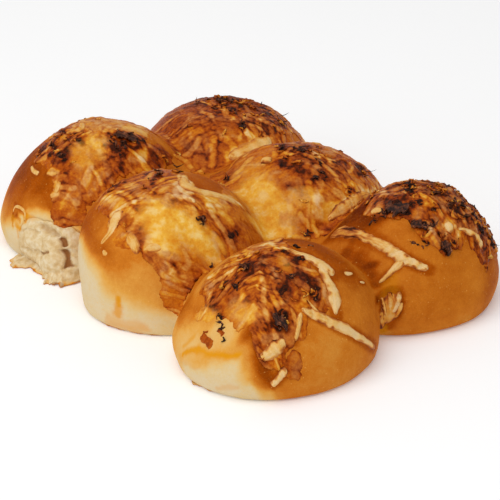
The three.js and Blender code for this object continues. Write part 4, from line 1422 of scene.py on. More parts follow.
def cheese_effect() -> bpy.types.NodeTree:
    """Baked cheese: pale yellow to red-brown by its tone, yellow where melted, black where charred."""
    effect = Effect("baked_cheese", ("Tone", "Char", "Melt", "Dry", "Point"), COLOUR_AND_GRAIN)
    w, given = effect.wiring, effect.given
    point = given["Point"]
    mottle, fine, grain = w.noise(point, 2.4, 3, 0.6), w.noise(point, 0.8, 3, 0.65), w.noise(point, 0.3, 2)
    tone = w.vary(given["Tone"], (mottle, 0.24), (fine, 0.28))
    colour = w.ramp(
        tone,
        (0.0, (236, 202, 144)),
        (0.18, (231, 184, 100)),
        (0.36, (223, 154, 42)),
        (0.54, (204, 115, 18)),
        (0.72, (172, 77, 6)),
        (0.88, (118, 41, 0)),
        (1.0, (64, 21, 0)),
    )
    pool = w.noise(point, 4, 3, 0.6)
    yellow = w.ramp(pool, (0.35, (228, 150, 34)), (0.5, (241, 186, 66)), (0.66, (247, 216, 134)))
    colour = w.mix(w.math("MULTIPLY", given["Melt"], 0.72), colour, yellow)
    ash = w.ramp(
        tone,
        (0.1, (226, 184, 134)),
        (0.35, (208, 148, 94)),
        (0.6, (176, 106, 54)),
        (0.85, (120, 58, 24)),
        (1.0, (70, 30, 12)),
    )
    colour = w.mix(given["Dry"], colour, ash)
    burnt = w.ramp(fine, (0.3, (20, 9, 7)), (0.55, (46, 20, 10)), (0.75, (100, 48, 20)))
    colour = w.mix(w.between(given["Char"], 0.3, 0.7), colour, burnt)
    rough = w.add(w.between(fine, 0.3, 0.7, 0.3, 0.46), given["Char"], 0.3)
    return effect.end(Color=colour, Grain=w.add(fine, grain, 0.35), Roughness=rough)


def onion_effect() -> bpy.types.NodeTree:
    """Charred onion: brown black with dry grey-brown edges and a trace of red."""
    effect = Effect("charred_onion", ("Tone", "Point"), COLOUR_AND_GRAIN)
    w, given = effect.wiring, effect.given
    point = given["Point"]
    broad, fine = w.noise(point, 2.2, 3, 0.6), w.noise(point, 0.6, 3, 0.6)
    tone = w.vary(given["Tone"], (broad, 0.9), (fine, 0.5))
    colour = w.ramp(
        tone,
        (0.0, (24, 13, 11)),
        (0.3, (46, 25, 18)),
        (0.55, (96, 50, 28)),
        (0.8, (152, 88, 50)),
        (1.0, (196, 130, 80)),
    )
    return effect.end(Color=colour, Grain=fine, Roughness=w.between(fine, 0.3, 0.7, 0.32, 0.65))


@dataclass(frozen=True)
class Finish:
    """How a piece looks: its slot, its effect and the marks that feed it, its grain's depth and its shine."""

    name: str
    slot: str
    effect: str
    marks: tuple[str, ...]
    grain: float
    specular: float
    makers = {"baked_crust": crust_effect, "baked_cheese": cheese_effect, "charred_onion": onion_effect}

    def material(self) -> bpy.types.Material:
        """The material, made once: the effect's colour, roughness and grain feed a Principled shader."""
        if self.name in bpy.data.materials:
            return bpy.data.materials[self.name]
        made, w, shader = new_material(self.name)
        group = w.node("ShaderNodeGroup")
        group.node_tree = Effect.made.get(self.effect) or self.makers[self.effect]()
        point = w.node("ShaderNodeTexCoord").outputs["Object"]
        w.put(group.inputs["Point"], point)
        for mark in self.marks:
            w.put(group.inputs[mark.capitalize()], w.mark(mark))
        bump = w.node("ShaderNodeBump", Height=group.outputs["Grain"], Distance=self.grain * MM, Strength=1.0)
        w.put(shader.inputs["Base Color"], group.outputs["Color"])
        w.put(shader.inputs["Roughness"], group.outputs["Roughness"])
        w.put(shader.inputs["Normal"], bump.outputs["Normal"])
        shader.inputs["Specular IOR Level"].default_value = self.specular
        return made


CRUST = Finish("baked_crust", "crust", "baked_crust", ("bake", "oil", "crumb"), 0.18, 0.02)
CHEESE = Finish("baked_cheese", "cheese", "baked_cheese", ("tone", "char", "melt", "dry"), 0.2, 0.06)
ONION = Finish("charred_onion", "onion", "charred_onion", ("tone",), 0.3, 0.16)


# ---- The pieces ----


@dataclass
class Bread:
    """The bread: every second point of the canvas, closed below by a flat base inside the sheet's own rim."""

    canvas: Canvas
    spacing: float = 5.0
    inset: float = 8.0
    base_bake: float = 0.6

    def rim(self, rows: int, columns: int) -> np.ndarray:
        """Numbers of the grid's outer points, once around against the clock as seen from above."""
        place = np.arange(rows * columns).reshape(rows, columns)
        return np.concatenate([place[0, :-1], place[:-1, -1], place[-1, :0:-1], place[:0:-1, 0]])

    def base(self, edge: np.ndarray) -> tuple[np.ndarray, np.ndarray]:
        """The flat base: points on a square lattice well inside the bread, joined to the rim by triangles.

        Args:
            edge: the rim's points, in order, (n, 2).

        Returns:
            The lattice's points, (m, 3), and triangles that face down, (k, 3), whose numbers count the rim's
            points first.
        """
        low, high = edge.min(axis=0), edge.max(axis=0)
        x, y = np.meshgrid(*(np.arange(low[i], high[i], self.spacing) for i in (0, 1)))
        lattice = np.stack([x, y, 0 * x], axis=-1).reshape(-1, 3)
        lattice = lattice[self.canvas.dough.depth(lattice) < -self.inset]
        places = [Vector(place) for place in np.concatenate([edge, lattice[:, :2]]).tolist()]
        _, _, faces, given, _, _ = delaunay_2d_cdt(places, [], [list(range(len(edge)))], 1, 1e-6)
        return lattice, np.array([[given[corner][0] for corner in face] for face in faces])[:, ::-1]

    def shape(self) -> Shape:
        """The closed skin."""
        canvas = self.canvas
        points = canvas.on_crust()[::2, ::2].copy()
        points[..., 2] = np.maximum(points[..., 2], 0)
        rows, columns = points.shape[:2]
        flat = points.reshape(-1, 3)
        rim = self.rim(rows, columns)
        flat[rim, 2] = 0
        under, triangles = self.base(flat[rim, :2])
        triangles = np.concatenate([rim, len(flat) + np.arange(len(under))])[triangles]
        marks = {}
        looks = {"bake": canvas.bake, "oil": canvas.looks[Look.OIL], "crumb": canvas.looks[Look.CRUMB]}
        below = {"bake": self.base_bake + 0.2 * layered(under, 20, 3, 51)}
        for name, values in looks.items():
            marks[name] = np.concatenate([values[::2, ::2].ravel(), below.get(name, 0 * under[:, 0])])
        faces = np.concatenate([grid_faces(rows, columns), triangles[:, [0, 1, 2, 2]]])
        return Shape(np.concatenate([flat, under]), faces, marks)


@dataclass
class CheeseSheet:
    """The melted cheese over one roll, which goes on past the crease and sinks under its neighbour."""

    canvas: Canvas
    roll: str
    past: float = 2.6
    sink: float = 0.12
    thick: float = 1.0

    def shape(self) -> Shape:
        """The shell over the cells that have cheese and are nearest to the roll."""
        canvas, rolls = self.canvas, self.canvas.dough.rolls
        own = rolls[self.roll].depth(canvas.p)
        others = np.min([roll.depth(canvas.p) for name, roll in rolls.items() if name != self.roll], axis=0)
        over = own - others
        inside = (over < self.past) & (canvas.cover > 0.01)
        full = whole(inside)
        kept = (blurred(full.astype(float), 2) > 0.5) & full
        top = canvas.on_cheese() - canvas.normal * (self.sink * np.maximum(over, 0) ** 2)[..., None]
        top[..., 2] = np.maximum(top[..., 2], 0.15)
        bottom = top - canvas.normal * self.thick
        bottom[..., 2] = np.maximum(bottom[..., 2], 0.1)
        marks = {"tone": canvas.tone, "char": canvas.char, "melt": canvas.looks[Look.MELT], "dry": canvas.dry}
        return shell(top, bottom, marks, kept)


def smooth_line(line: tuple[tuple[float, float], ...], count: int) -> np.ndarray:
    """A curve through points: each part is a cubic whose end slopes are half the step between its neighbours.

    Args:
        line: the points.
        count: how many places along the curve.

    Returns:
        Places on the curve, (count, 2).
    """
    points = np.array(line, float)
    points = np.concatenate([2 * points[:1] - points[1:2], points, 2 * points[-1:] - points[-2:-1]])
    place = np.linspace(0, len(line) - 1 - 1e-9, count)
    part, t = place.astype(int), (place % 1)[:, None]
    a, b, c, d = (points[part + k] for k in range(4))
    return 0.5 * (2 * b + (c - a) * t + (2 * a - 5 * b + 4 * c - d) * t**2 + (3 * b - a - 3 * c + d) * t**3)


def beside(middle: np.ndarray, side: np.ndarray) -> tuple[np.ndarray, np.ndarray]:
    """Places beside a line, left of its way.

    Args:
        middle: the line's points, (n, 2).
        side: how far to the left, (n, m).

    Returns:
        u and v, (n, m) each.
    """
    way = unit(np.gradient(middle, axis=0))
    return middle[:, :1] - way[:, 1:] * side, middle[:, 1:] + way[:, :1] * side


@dataclass(frozen=True)
class Shred:
    """A melted shred: points (u, v) of its middle line, widths along it and thickness in millimetres."""

    node: str
    line: tuple[tuple[float, float], ...]
    widths: tuple[float, ...]
    thick: float
    tone: float = 0.08
    browned: float = 0.0
    rough: float = 0.2

    @property
    def width(self) -> float:
        """The mean width."""
        return sum(self.widths) / len(self.widths)

    def shape(self, canvas: Canvas, step: float = 0.35, across: int = 15) -> Shape:
        """The shred's shell: its top is a rounded bar with fibres along it, which lies on what is there.

        Args:
            canvas: the crust and what lies on it.
            step: distance between points along it, in millimetres.
            across: points across it.

        Returns:
            The shell.
        """
        length = np.hypot(*np.diff(np.array(self.line), axis=0).T).sum()
        count = int(length / step) + 2
        share = np.linspace(-1, 1, count)[:, None]
        a = np.linspace(-1, 1, across)[None]
        seed = sum(map(ord, self.node))
        along = np.linspace(0, length, count)[:, None] + 0 * a
        drawn = np.stack([along, a * 3 + 0 * along, 0 * along + seed], axis=-1)
        end = np.sqrt(np.clip(1 - np.abs(share) ** (length / self.width * 2.2), 0, 1))
        early = 1 - ramp(share, -0.8, 0.35)
        widths = np.interp(share, np.linspace(-1, 1, len(self.widths)), self.widths)
        uneven = noise(drawn * [1, 0.25, 1], 3.2, seed) + 0.6 * noise(drawn * [1, 0.25, 1], 1.4, seed + 4)
        half = 0.5 * widths * end * (1 + self.rough * uneven)
        side = a * half + 0.1 * self.width * noise(drawn * [1, 0, 1], 7.0, seed + 1)
        u, v = beside(smooth_line(self.line, count), side)
        base, normal = canvas.ground(u, v)
        lie = canvas.at_place(canvas.smooth_top, u, v)
        dome = np.clip(1 - np.abs(a) ** 2.2, 0, 1) ** 0.75 * end**0.8
        fibres = noise(drawn * [0.16, 1.1, 1], 0.8, seed + 2)
        lumpy = noise(drawn * [1, 0.4, 1], 3.0, seed + 3)
        low = 1 - 0.5 * early * self.browned
        height = self.thick * low * dome * (0.55 + 0.3 * lumpy) + 0.16 * fibres * dome
        top = base + normal * (lie - 0.3 + 0.3 * dome**2 + height)[..., None]
        bottom = base + normal * (lie - 1.1)[..., None]
        ragged = 0.26 * noise(drawn, 1.6, seed + 6) + 0.2 * lumpy
        edge = ramp(np.abs(a) + 0 * along + ragged, 0.36, 0.96)
        edge = np.maximum(edge, ramp(np.abs(share) + ragged, 0.86, 1.0) * 0.7)
        edge = np.maximum(edge, self.browned * early * (0.6 + 0.9 * fibres))
        edge = edge * (1 - 0.6 * canvas.at_place(canvas.looks[Look.SOFT], u, v))
        tone = self.tone + 0.2 * self.browned * early + 0.55 * edge
        tone = tone + 0.2 * fibres * (0.4 + edge) + 0.14 * lumpy
        marks = {"tone": tone, "char": 0 * tone, "melt": 0 * tone, "dry": 0.25 + 0.45 * ramp(edge, 0.1, 0.7)}
        return shell(top, bottom, marks)


SHREDS = (
    Shred(
        "cheese_right_long",
        ((42, 12.6), (54, 11), (64, 10.8), (74, 11.6), (84, 13.6), (91, 15.6), (96, 18.4), (101, 22.6)),
        (5.4, 4.8, 3.4, 3.2, 4.4, 5.4, 4.4, 3.4),
        1.5,
        browned=1.1,
    ),
    Shred(
        "cheese_right_branch",
        ((92.4, 16), (95.2, 11.6), (97.4, 8.6), (99.4, 6.2)),
        (5.2, 3.6, 2.8, 1.6),
        1.1, 0.16,
    ),
    Shred(
        "cheese_right_low",
        ((107, 8.6), (112.6, 7.4), (118, 6), (124, 4.8)),
        (4.6, 7.4, 8, 5),
        1.2, 0.3, 0.4, 0.12,
    ),
    Shred("cheese_right_far", ((92.6, 50), (96.6, 57), (99.6, 61), (103, 65)), (1.8, 3, 4.4, 3.2), 1.2, 0.12),
    Shred(
        "cheese_front_long",
        ((99.6, -44), (102, -39), (105.5, -32.4), (109.6, -26), (115, -19.4), (123, -10.4)),
        (2.4, 4.6, 5.2, 4.2, 2.9, 2.2),
        1.6,
        browned=0.3,
    ),
    Shred(
        "cheese_front_arc",
        ((69, -29.6), (75, -27.4), (80, -24.2), (85, -21.6), (90.6, -19.2)),
        (1.6, 2.6, 4.6, 6.2, 5),
        1.3,
        browned=0.4,
    ),
    Shred(
        "cheese_front_tail",
        ((85.5, -22.4), (90, -23.4), (95, -24), (99.6, -25.2), (104.6, -27.4)),
        (4, 4, 4.8, 5.6, 1.6),
        1.5,
    ),
    Shred(
        "cheese_front_lump",
        ((114, -77.4), (112.4, -71), (110.4, -65), (108.6, -60)),
        (2.4, 4.4, 4.2, 2.4),
        1.3, 0.14,
    ),
    Shred("cheese_front_stub", ((123, -79), (120.6, -72.6), (117.6, -66)), (2.8, 2.6, 3), 1.4),
    Shred(
        "cheese_middle_hook",
        ((3.8, -71), (5.6, -66), (4.8, -61.4), (2.6, -57.6)),
        (2.6, 3, 6.6, 6.6),
        0.8, 0.14, 0.5,
    ),
    Shred(
        "cheese_middle_lump",
        ((13.4, -63), (15.6, -63.6), (18.4, -65), (20.6, -67.6)),
        (3.6, 5, 5, 3.4),
        0.9, 0.2, 0.4,
    ),
    Shred(
        "cheese_middle_ridge",
        ((1, -27.6), (7, -31), (12.4, -29), (15.6, -22), (17, -14)),
        (3, 6.4, 6.4, 5, 3),
        0.8,
        0.2,
    ),
    Shred(
        "cheese_back_valley",
        ((-35.5, 18), (-35, 26), (-34.6, 36), (-35.4, 46)),
        (4, 7.6, 7.6, 4.5),
        1.4, 0.2,
    ),
)
SMALL_SHREDS = (
    Shred("pale_disc", ((-6.4, 14.2), (-4.4, 15.4), (-2.2, 16.4)), (4, 4.8, 3.8), 2.2, 0.2),
    Shred(
        "left_curl",
        (
            (-76, -82.4), (-75.4, -80.2), (-72.8, -79), (-67.5, -78.4),
            (-62.2, -79), (-60, -81), (-60.2, -83.6),
        ),
        (1.2, 1.8, 2.4, 2.6, 2.4, 2, 1.2),
        0.3,
        0.22,
    ),
    Shred("left_low", ((-80, -62.8), (-74, -62.6), (-67, -61.6)), (2, 2.6, 3.4), 0.7, 0.16),
    Shred("left_knob", ((-60.4, -59.4), (-57.6, -58), (-55.4, -57)), (1.8, 3, 2), 0.9, 0.26),
    Shred("left_side", ((-52.2, -59), (-51.4, -62), (-50.6, -65)), (1.6, 2.6, 1.6), 0.6, 0.3),
    Shred("left_fold", ((-73, -29), (-68.4, -33), (-69, -38), (-74, -42)), (2.4, 4, 3.6, 2), 1.2, 0.34),
    Shred("middle_dot", ((6, -72), (7.4, -72.6), (9.2, -72.4)), (1.6, 2.4, 1.4), 0.5, 0.26),
    Shred("middle_disc", ((22.4, -64), (24, -62.2), (26, -60)), (3, 4.4, 3), 0.4, 0.2),
    Shred("middle_top", ((16, -36.4), (17.4, -35.2), (19, -35.6)), (1.8, 2.6, 1.6), 1.1, 0.16),
    Shred("front_dash", ((90.6, -14), (91.2, -12), (91.4, -9)), (2.2, 2.6, 1.6), 0.7, 0.1),
    Shred("front_far_dash", ((96, -7.4), (96.4, -5.4), (96.8, -3.6)), (1.4, 1.8, 1), 0.6, 0.1),
    Shred(
        "front_thin",
        ((100.4, -44.6), (103.4, -48), (106.6, -51.4), (109.4, -55)),
        (1.6, 3, 2.8, 1.2),
        0.7, 0.22,
    ),
    Shred("front_loop", ((96.5, -39), (99.4, -37.2), (102.6, -35)), (1.2, 1.8, 1.4), 0.8, 0.2),
    Shred("right_lump", ((87.4, 38), (88, 41), (88.4, 44.4)), (4, 5.2, 3.6), 1.4, 0.06),
    Shred("right_tan", ((60, 18.4), (63, 19.6), (66, 20)), (2, 3.2, 2), 0.9, 0.22),
    Shred("right_thread", ((90.8, 47), (92.6, 51), (94, 54.6)), (1.2, 2, 1.2), 0.8, 0.2),
    Shred(
        "inner_flange",
        ((26, 54), (27.4, 44), (28.6, 36), (29.4, 28), (30, 20)),
        (2, 4, 4.6, 4, 2),
        1.1, 0.26, 0.4,
    ),
    Shred("right_fan_high", ((107, 11), (112, 10), (118, 7.6)), (1.2, 2.4, 2), 2.0, 0.1),
    Shred("right_fan_middle", ((106, 8), (111, 7.6), (117, 6.6)), (1.4, 2.2, 1.8), 2.0, 0.24, 0.4),
    Shred("right_fan_low", ((108, 5.4), (113, 5.2), (119, 5)), (1.4, 2, 1.8), 2.0, 0.2, 0.4),
    Shred("right_fan_side", ((113, 11), (117, 9.8), (121, 8)), (1.2, 2, 1.2), 1.8, 0.3),
    Shred("right_low_foot", ((116, 3.4), (120, 3.4), (126, 4)), (2.4, 4, 3), 1.4, 0.42),
)


@dataclass(frozen=True)
class OnionPiece:
    """A charred piece of onion as large as a berry: its middle line, width and thickness in millimetres."""

    node: str
    line: tuple[tuple[float, float], ...]
    width: float
    thick: float

    def shape(self, canvas: Canvas, count: int = 34, across: int = 17) -> Shape:
        """A flake with a torn outline whose rims curl up and whose skin is shrivelled.

        Args:
            canvas: the crust and what lies on it.
            count: points along it.
            across: points across it.

        Returns:
            The shell.
        """
        share, a = np.linspace(-1, 1, count)[:, None], np.linspace(-1, 1, across)[None]
        seed = sum(map(ord, self.node))
        place = np.stack([4 * share + 0 * a, 3 * a + 0 * share, seed + 0 * a * share], axis=-1)
        end = np.sqrt(np.clip(1 - np.abs(share) ** 3.2, 0, 1)) + 0.05
        flat = place * [1, 0.2, 1]
        torn = 1 + 0.8 * noise(flat, 1.1, seed) + 0.45 * noise(flat, 2.6, seed + 1)
        side = 0.48 * self.width * a * end * torn
        u, v = beside(smooth_line(self.line, count), side)
        base, normal = canvas.ground(u, v)
        lie = canvas.at_place(canvas.smooth_top, u, v)
        far = np.maximum(np.abs(a) + 0 * share, np.abs(share) + 0 * a)
        curl = 0.9 * ramp(far, 0.5, 1.0) * (0.5 + 0.9 * noise(place, 3.0, seed + 2))
        skin = 0.55 * layered(place, 1.7, 3, seed + 3, ridged=True)
        height = lie + 0.25 + curl + skin * 0.6
        top = base + normal * (height + 0.5 * self.thick)[..., None]
        bottom = base + normal * (height - 0.3 * self.thick - 0.3 * (1 - ramp(far, 0.6, 1.0)))[..., None]
        tone = 0.24 + 0.3 * ramp(curl + 0.4 * skin, 0.3, 0.9) + 0.5 * skin
        tone = tone + 0.25 * noise(place, 1.3, seed + 5)
        return shell(top, bottom, {"tone": tone})


ONIONS = (
    OnionPiece("onion_right_top", ((66.5, 21.5), (70, 24), (74, 25.5)), 5.4, 1.1),
    OnionPiece("onion_right_middle", ((79, 24.5), (81.6, 26.3), (84.4, 28.5)), 3.4, 1),
    OnionPiece("onion_right_side", ((92.5, 31), (95, 33.2), (97.2, 35.6)), 4.6, 1.1),
    OnionPiece("onion_front_middle", ((100.6, -60), (102.7, -57.8), (104.8, -55.4)), 4.8, 1),
    OnionPiece("onion_left_top", ((-53, -25), (-50.4, -22), (-48.8, -18)), 3.2, 0.8),
)


@dataclass
class Scatter:
    """Small pieces strewn over what lies on the crust: curled flakes, each a grid of a few points.

    A flake's long side runs along a heading on the crust, its short side across it. It bows by a curl, tips
    by a tilt, and tapers to both ends.
    """

    canvas: Canvas
    weight: np.ndarray
    count: int
    length: tuple[float, float]
    width: tuple[float, float]
    thick: float
    curl: float
    tilt: float
    tone: tuple[float, float]
    char: float = 0.0
    seed: int = 1
    along: int = 6
    across: int = 3
    sink: float = 0.15
    lowest: float = 0.05

    def shape(self) -> Shape:
        """All flakes as one shape."""
        canvas, random = self.canvas, np.random.default_rng(self.seed)
        share = self.weight.ravel() / self.weight.sum()
        chosen = random.choice(share.size, self.count, p=share)
        n = (self.count, 1, 1)
        base = (canvas.p + canvas.normal * canvas.top()[..., None]).reshape(-1, 3)[chosen]
        normal = canvas.normal.reshape(-1, 3)[chosen]
        some = unit(np.cross(normal, [0.3, 0.5, 0.81]))
        other = np.cross(normal, some)
        turn = random.uniform(0, 2 * math.pi, self.count)[:, None]
        way = some * np.cos(turn) + other * np.sin(turn)
        tilt = random.normal(0, self.tilt, self.count)[:, None]
        way, up = way * np.cos(tilt) + normal * np.sin(tilt), normal * np.cos(tilt) - way * np.sin(tilt)
        side = np.cross(up, way)
        roll = random.normal(0, self.tilt, self.count)[:, None]
        side, up = side * np.cos(roll) + up * np.sin(roll), up * np.cos(roll) - side * np.sin(roll)
        length = random.uniform(*self.length, n)
        width = random.uniform(*self.width, n) * np.minimum(1, 0.5 + 0.1 * length)
        s = np.linspace(-1, 1, self.along)[None, :, None]
        a = np.linspace(-1, 1, self.across)[None, None, :]
        jag = random.normal(0, 0.13, (self.count, self.along, 1))
        taper = np.sqrt(np.clip(1.06 - np.abs(s) ** 2.5, 0, 1)) * (1 + jag)
        bend = random.normal(0, 0.35, n) * length
        stagger = random.normal(0, 1, (self.count, 1, self.across))
        along = 0.5 * length * s + 0.1 * length * stagger * np.abs(s) ** 3
        sideways = 0.5 * width * a * taper + bend * (s**2 - 0.4)
        curl = random.normal(0.5, 0.6, n) * self.curl
        rise = curl * (s**2 - 0.3) * length * 0.3 + np.abs(a) * random.normal(0.2, 0.5, n) * self.curl * width
        rise = rise + random.normal(0, 0.12, (self.count, self.along, self.across)) * width
        rise = rise - rise.min(axis=(1, 2), keepdims=True) * 0.6 - self.sink
        base, way, side, up = (each[:, None, None] for each in (base, way, side, up))
        middle = base + way * along[..., None] + side * sideways[..., None]
        top = middle + up * (rise + self.thick * (1 - 0.5 * a**2))[..., None]
        bottom = middle + up * (rise - 0.2 * self.thick)[..., None]
        top[..., 2] = np.maximum(top[..., 2], self.lowest + 0.1)
        bottom[..., 2] = np.maximum(bottom[..., 2], self.lowest)
        tone = random.uniform(*self.tone, n) + 0.15 * random.normal(0, 1, rise.shape) + 0.12 * np.abs(a)
        char = self.char * random.uniform(0.3, 1.2, n) + 0 * rise
        dry = 0.3 * np.abs(a) + 0 * rise
        return many(top, bottom, {"tone": tone, "char": char, "melt": 0 * rise, "dry": dry})


@dataclass(frozen=True)
class Wisp:
    """A thin charred thread of onion that stands off the crust: its root, heading, lean, length and bow."""

    u: float
    v: float
    heading: float
    lean: float
    length: float
    bow: float
    thick: float = 0.42
    rooted: float = 0.3

    def line(self, canvas: Canvas, count: int) -> np.ndarray:
        """The thread's middle: it leaves the crust at the lean and bends on evenly by the bow, (count, 3)."""
        u, v = np.array([self.u]), np.array([self.v])
        base, up = (values[0] for values in canvas.ground(u, v))
        root = base + up * (canvas.at_place(canvas.top(), u, v)[0] - self.rooted)
        flat = np.array([math.cos(self.heading), math.sin(self.heading), 0.0])
        flat = unit(flat - up * (flat @ up))
        angle = self.lean + self.bow * np.linspace(0, 1, count)
        step = (flat * np.cos(angle)[:, None] + up * np.sin(angle)[:, None]) * (self.length / (count - 1))
        return root + np.cumsum(step, axis=0) - step[0]


WISPS = (
    Wisp(-66, 50, 0.3, 0.5, 6, -0.9),
    Wisp(-60, 56, 2.4, 0.9, 4.5, -1.3),
    Wisp(-52, 60, 0.8, 0.35, 6, 0.9),
    Wisp(-47, 62, -0.4, 0.7, 5, -1.1),
    Wisp(14, 58, 0.2, 0.5, 6.5, 0.7),
    Wisp(18, 55, 1.6, 0.8, 3.5, -1.0),
    Wisp(101, 76, 0.5, 0.4, 4.5, 0.9),
    Wisp(-42, -4, 0.9, 1.0, 4.5, 0.5, 0.6),
    Wisp(-40, -8, -0.9, 0.4, 4.5, -0.5, 0.55),
    Wisp(-16.5, 3.6, 0.2, 0.35, 4.5, 0.6, 0.5),
    Wisp(-14, 3.9, 2.6, 0.5, 3.0, 0.6, 0.45),
    Wisp(28.8, 9.4, 1.2, 0.4, 4.0, -0.4, 0.5),
)


@dataclass
class Threads:
    """Round threads along lines, tapering to both ends."""

    canvas: Canvas
    wisps: tuple[Wisp, ...]
    around: int = 7
    along: int = 12

    def shape(self) -> Shape:
        """All threads as one shape: rings of points about each line, closed by a point at each end."""
        parts = []
        turn = np.linspace(0, 2 * math.pi, self.around, endpoint=False)[None, :, None]
        for number, wisp in enumerate(self.wisps):
            line = wisp.line(self.canvas, self.along)
            way = unit(np.gradient(line, axis=0))
            side = unit(np.cross(way, [0.2, 0.1, 1.0]))
            up = np.cross(side, way)
            kink = 1 + 0.5 * noise(line + number * 7, 1.6, 61)
            thick = 0.5 * wisp.thick * (1 - np.linspace(0, 1, self.along) ** 2 * 0.8) * kink
            flat = 0.45 + 0.5 * math.sin(number) ** 2
            ring = side[:, None] * np.cos(turn) + up[:, None] * np.sin(turn) * flat
            points = line[:, None] + ring * thick[:, None, None]
            ends = np.stack([line[0], line[-1]])
            place = np.arange(self.along * self.around).reshape(self.along, self.around)
            after = np.roll(place, -1, axis=1)
            sides = np.stack([place[:-1], after[:-1], after[1:], place[1:]], axis=-1).reshape(-1, 4)
            first, last = place.size, place.size + 1
            start = np.stack([after[0], place[0], 0 * place[0] + first, 0 * place[0] + first], axis=-1)
            stop = np.stack([place[-1], after[-1], 0 * place[0] + last, 0 * place[0] + last], axis=-1)
            faces = np.concatenate([sides, start, stop])
            skin = np.concatenate([points.reshape(-1, 3), ends])
            parts.append(Shape(skin, faces[:, ::-1], {"tone": np.full(len(skin), 0.05)}))
        return joined(parts)


@dataclass
class TornCrumb:
    """The crumb that shows where the left roll was torn off, with fluffy lobes and dark pockets, whose
    darkness is painted shade with some brown.

    A lobe has its middle (u, v), its reach along both and its rise. A pocket has a line (u, v), half its
    width, its depth and how dark it is painted: painted shade, with some brown.
    """

    canvas: Canvas
    low: tuple[float, float] = (-66.0, -100.6)
    high: tuple[float, float] = (-29.0, -74.0)
    step: float = 0.34
    lobes: tuple[tuple[float, ...], ...] = (
        (-53, -89, 8, 3.6, 1.2),
        (-40, -93, 5, 6, 1.0),
        (-47, -79.5, 9, 1.1, 0.4),
        (-44, -86.6, 5, 2.6, 0.7),
        (-50, -96.5, 7, 2.4, 0.7),
    )
    pockets: tuple[tuple, ...] = (
        (((-49, -81.4), (-45, -81.8)), 1.7, 1.3, 0.5),
        (((-43.6, -81.4), (-40.6, -81.8)), 1.3, 1.5, 0.55),
        (((-38.4, -82.6), (-35.6, -84.8)), 0.8, 1.8, 1.1),
        (((-35.2, -87.4), (-33.6, -90.6), (-33, -95)), 0.95, 1.8, 0.95),
        (((-48, -92), (-44, -91.6), (-41, -90)), 0.6, 1.2, 0.7),
        (((-61, -88), (-57, -85.4), (-50, -84.2)), 0.5, 0.8, 0.2),
        (((-60, -94.6), (-54, -93.4), (-49, -92.6)), 0.5, 0.7, 0.15),
    )

    def shape(self) -> Shape:
        """The shell over the torn place: it comes up out of the sunk crust inside the torn outline."""
        canvas = self.canvas
        u, v = np.meshgrid(
            np.arange(self.low[0], self.high[0], self.step), np.arange(self.low[1], self.high[1], self.step)
        )
        base, normal = canvas.ground(u, v)
        torn = canvas.at_place(canvas.looks[Look.CRUMB], u, v)
        torn = np.clip(torn + 0.25 * noise(base, 2.4, 71) * ramp(torn, 0.02, 0.3), 0, 1)
        near = nearest_seed(base * [1, 1, 0.7], 4.2, 72)
        pores = (ramp(near, 0.08, 0.4) - 1) * ramp(noise(base, 6, 73), 0.0, 0.6)
        lobe = np.zeros(u.shape)
        for u0, v0, reach_u, reach_v, rise in self.lobes:
            lobe = np.maximum(lobe, rise * np.exp(-(((u - u0) / reach_u) ** 2) - ((v - v0) / reach_v) ** 2))
        # brown: how dark each pocket is painted, as painted shade in the pocket with some brown.
        pocket, brown = np.zeros(u.shape), np.zeros(u.shape)
        wander_u, wander_v = u + 0.8 * noise(base, 4, 74), v + 0.8 * noise(base, 4, 75)
        for line, width, deep, dark in self.pockets:
            away = away_from(np.array(line, float), wander_u, wander_v)
            near_line = 1 - ramp(away, 0.4 * width, 1.7 * width)
            pocket, brown = np.maximum(pocket, deep * near_line), np.maximum(brown, dark * near_line)
        fluff = 0.75 * layered(base, 6.5, 3, 76) + 0.1 * layered(base, 1.8, 2, 77, ridged=True)
        height = -0.3 + 0.3 * ramp(torn, 0.05, 0.4)
        height = height + (1.7 * lobe + fluff + 0.7 * pores - pocket) * ramp(torn, 0.25, 0.9)
        top = base + normal * height[..., None]
        bottom = base + normal * (np.minimum(height, 0) - 3.0)[..., None]
        for side in (top, bottom):
            side[..., 2] = np.maximum(side[..., 2], 0.3)
        # Painted shade: the crumb is darker in its pockets, where it lies low and in its pores; the pockets
        # also hold some brown.
        flesh = 0.1 + 0.85 * brown + 0.25 * ramp(-fluff, 0.2, 0.8) - 0.2 * pores
        marks = {
            "bake": toward(canvas.at_place(canvas.bake, u, v), flesh, ramp(torn, 0.15, 0.55)),
            "oil": 0.35 * canvas.at_place(canvas.looks[Look.OIL], u, v),
            "crumb": ramp(torn, 0.15, 0.65),
        }
        return shell(top, bottom, marks, whole(torn > 0.05))


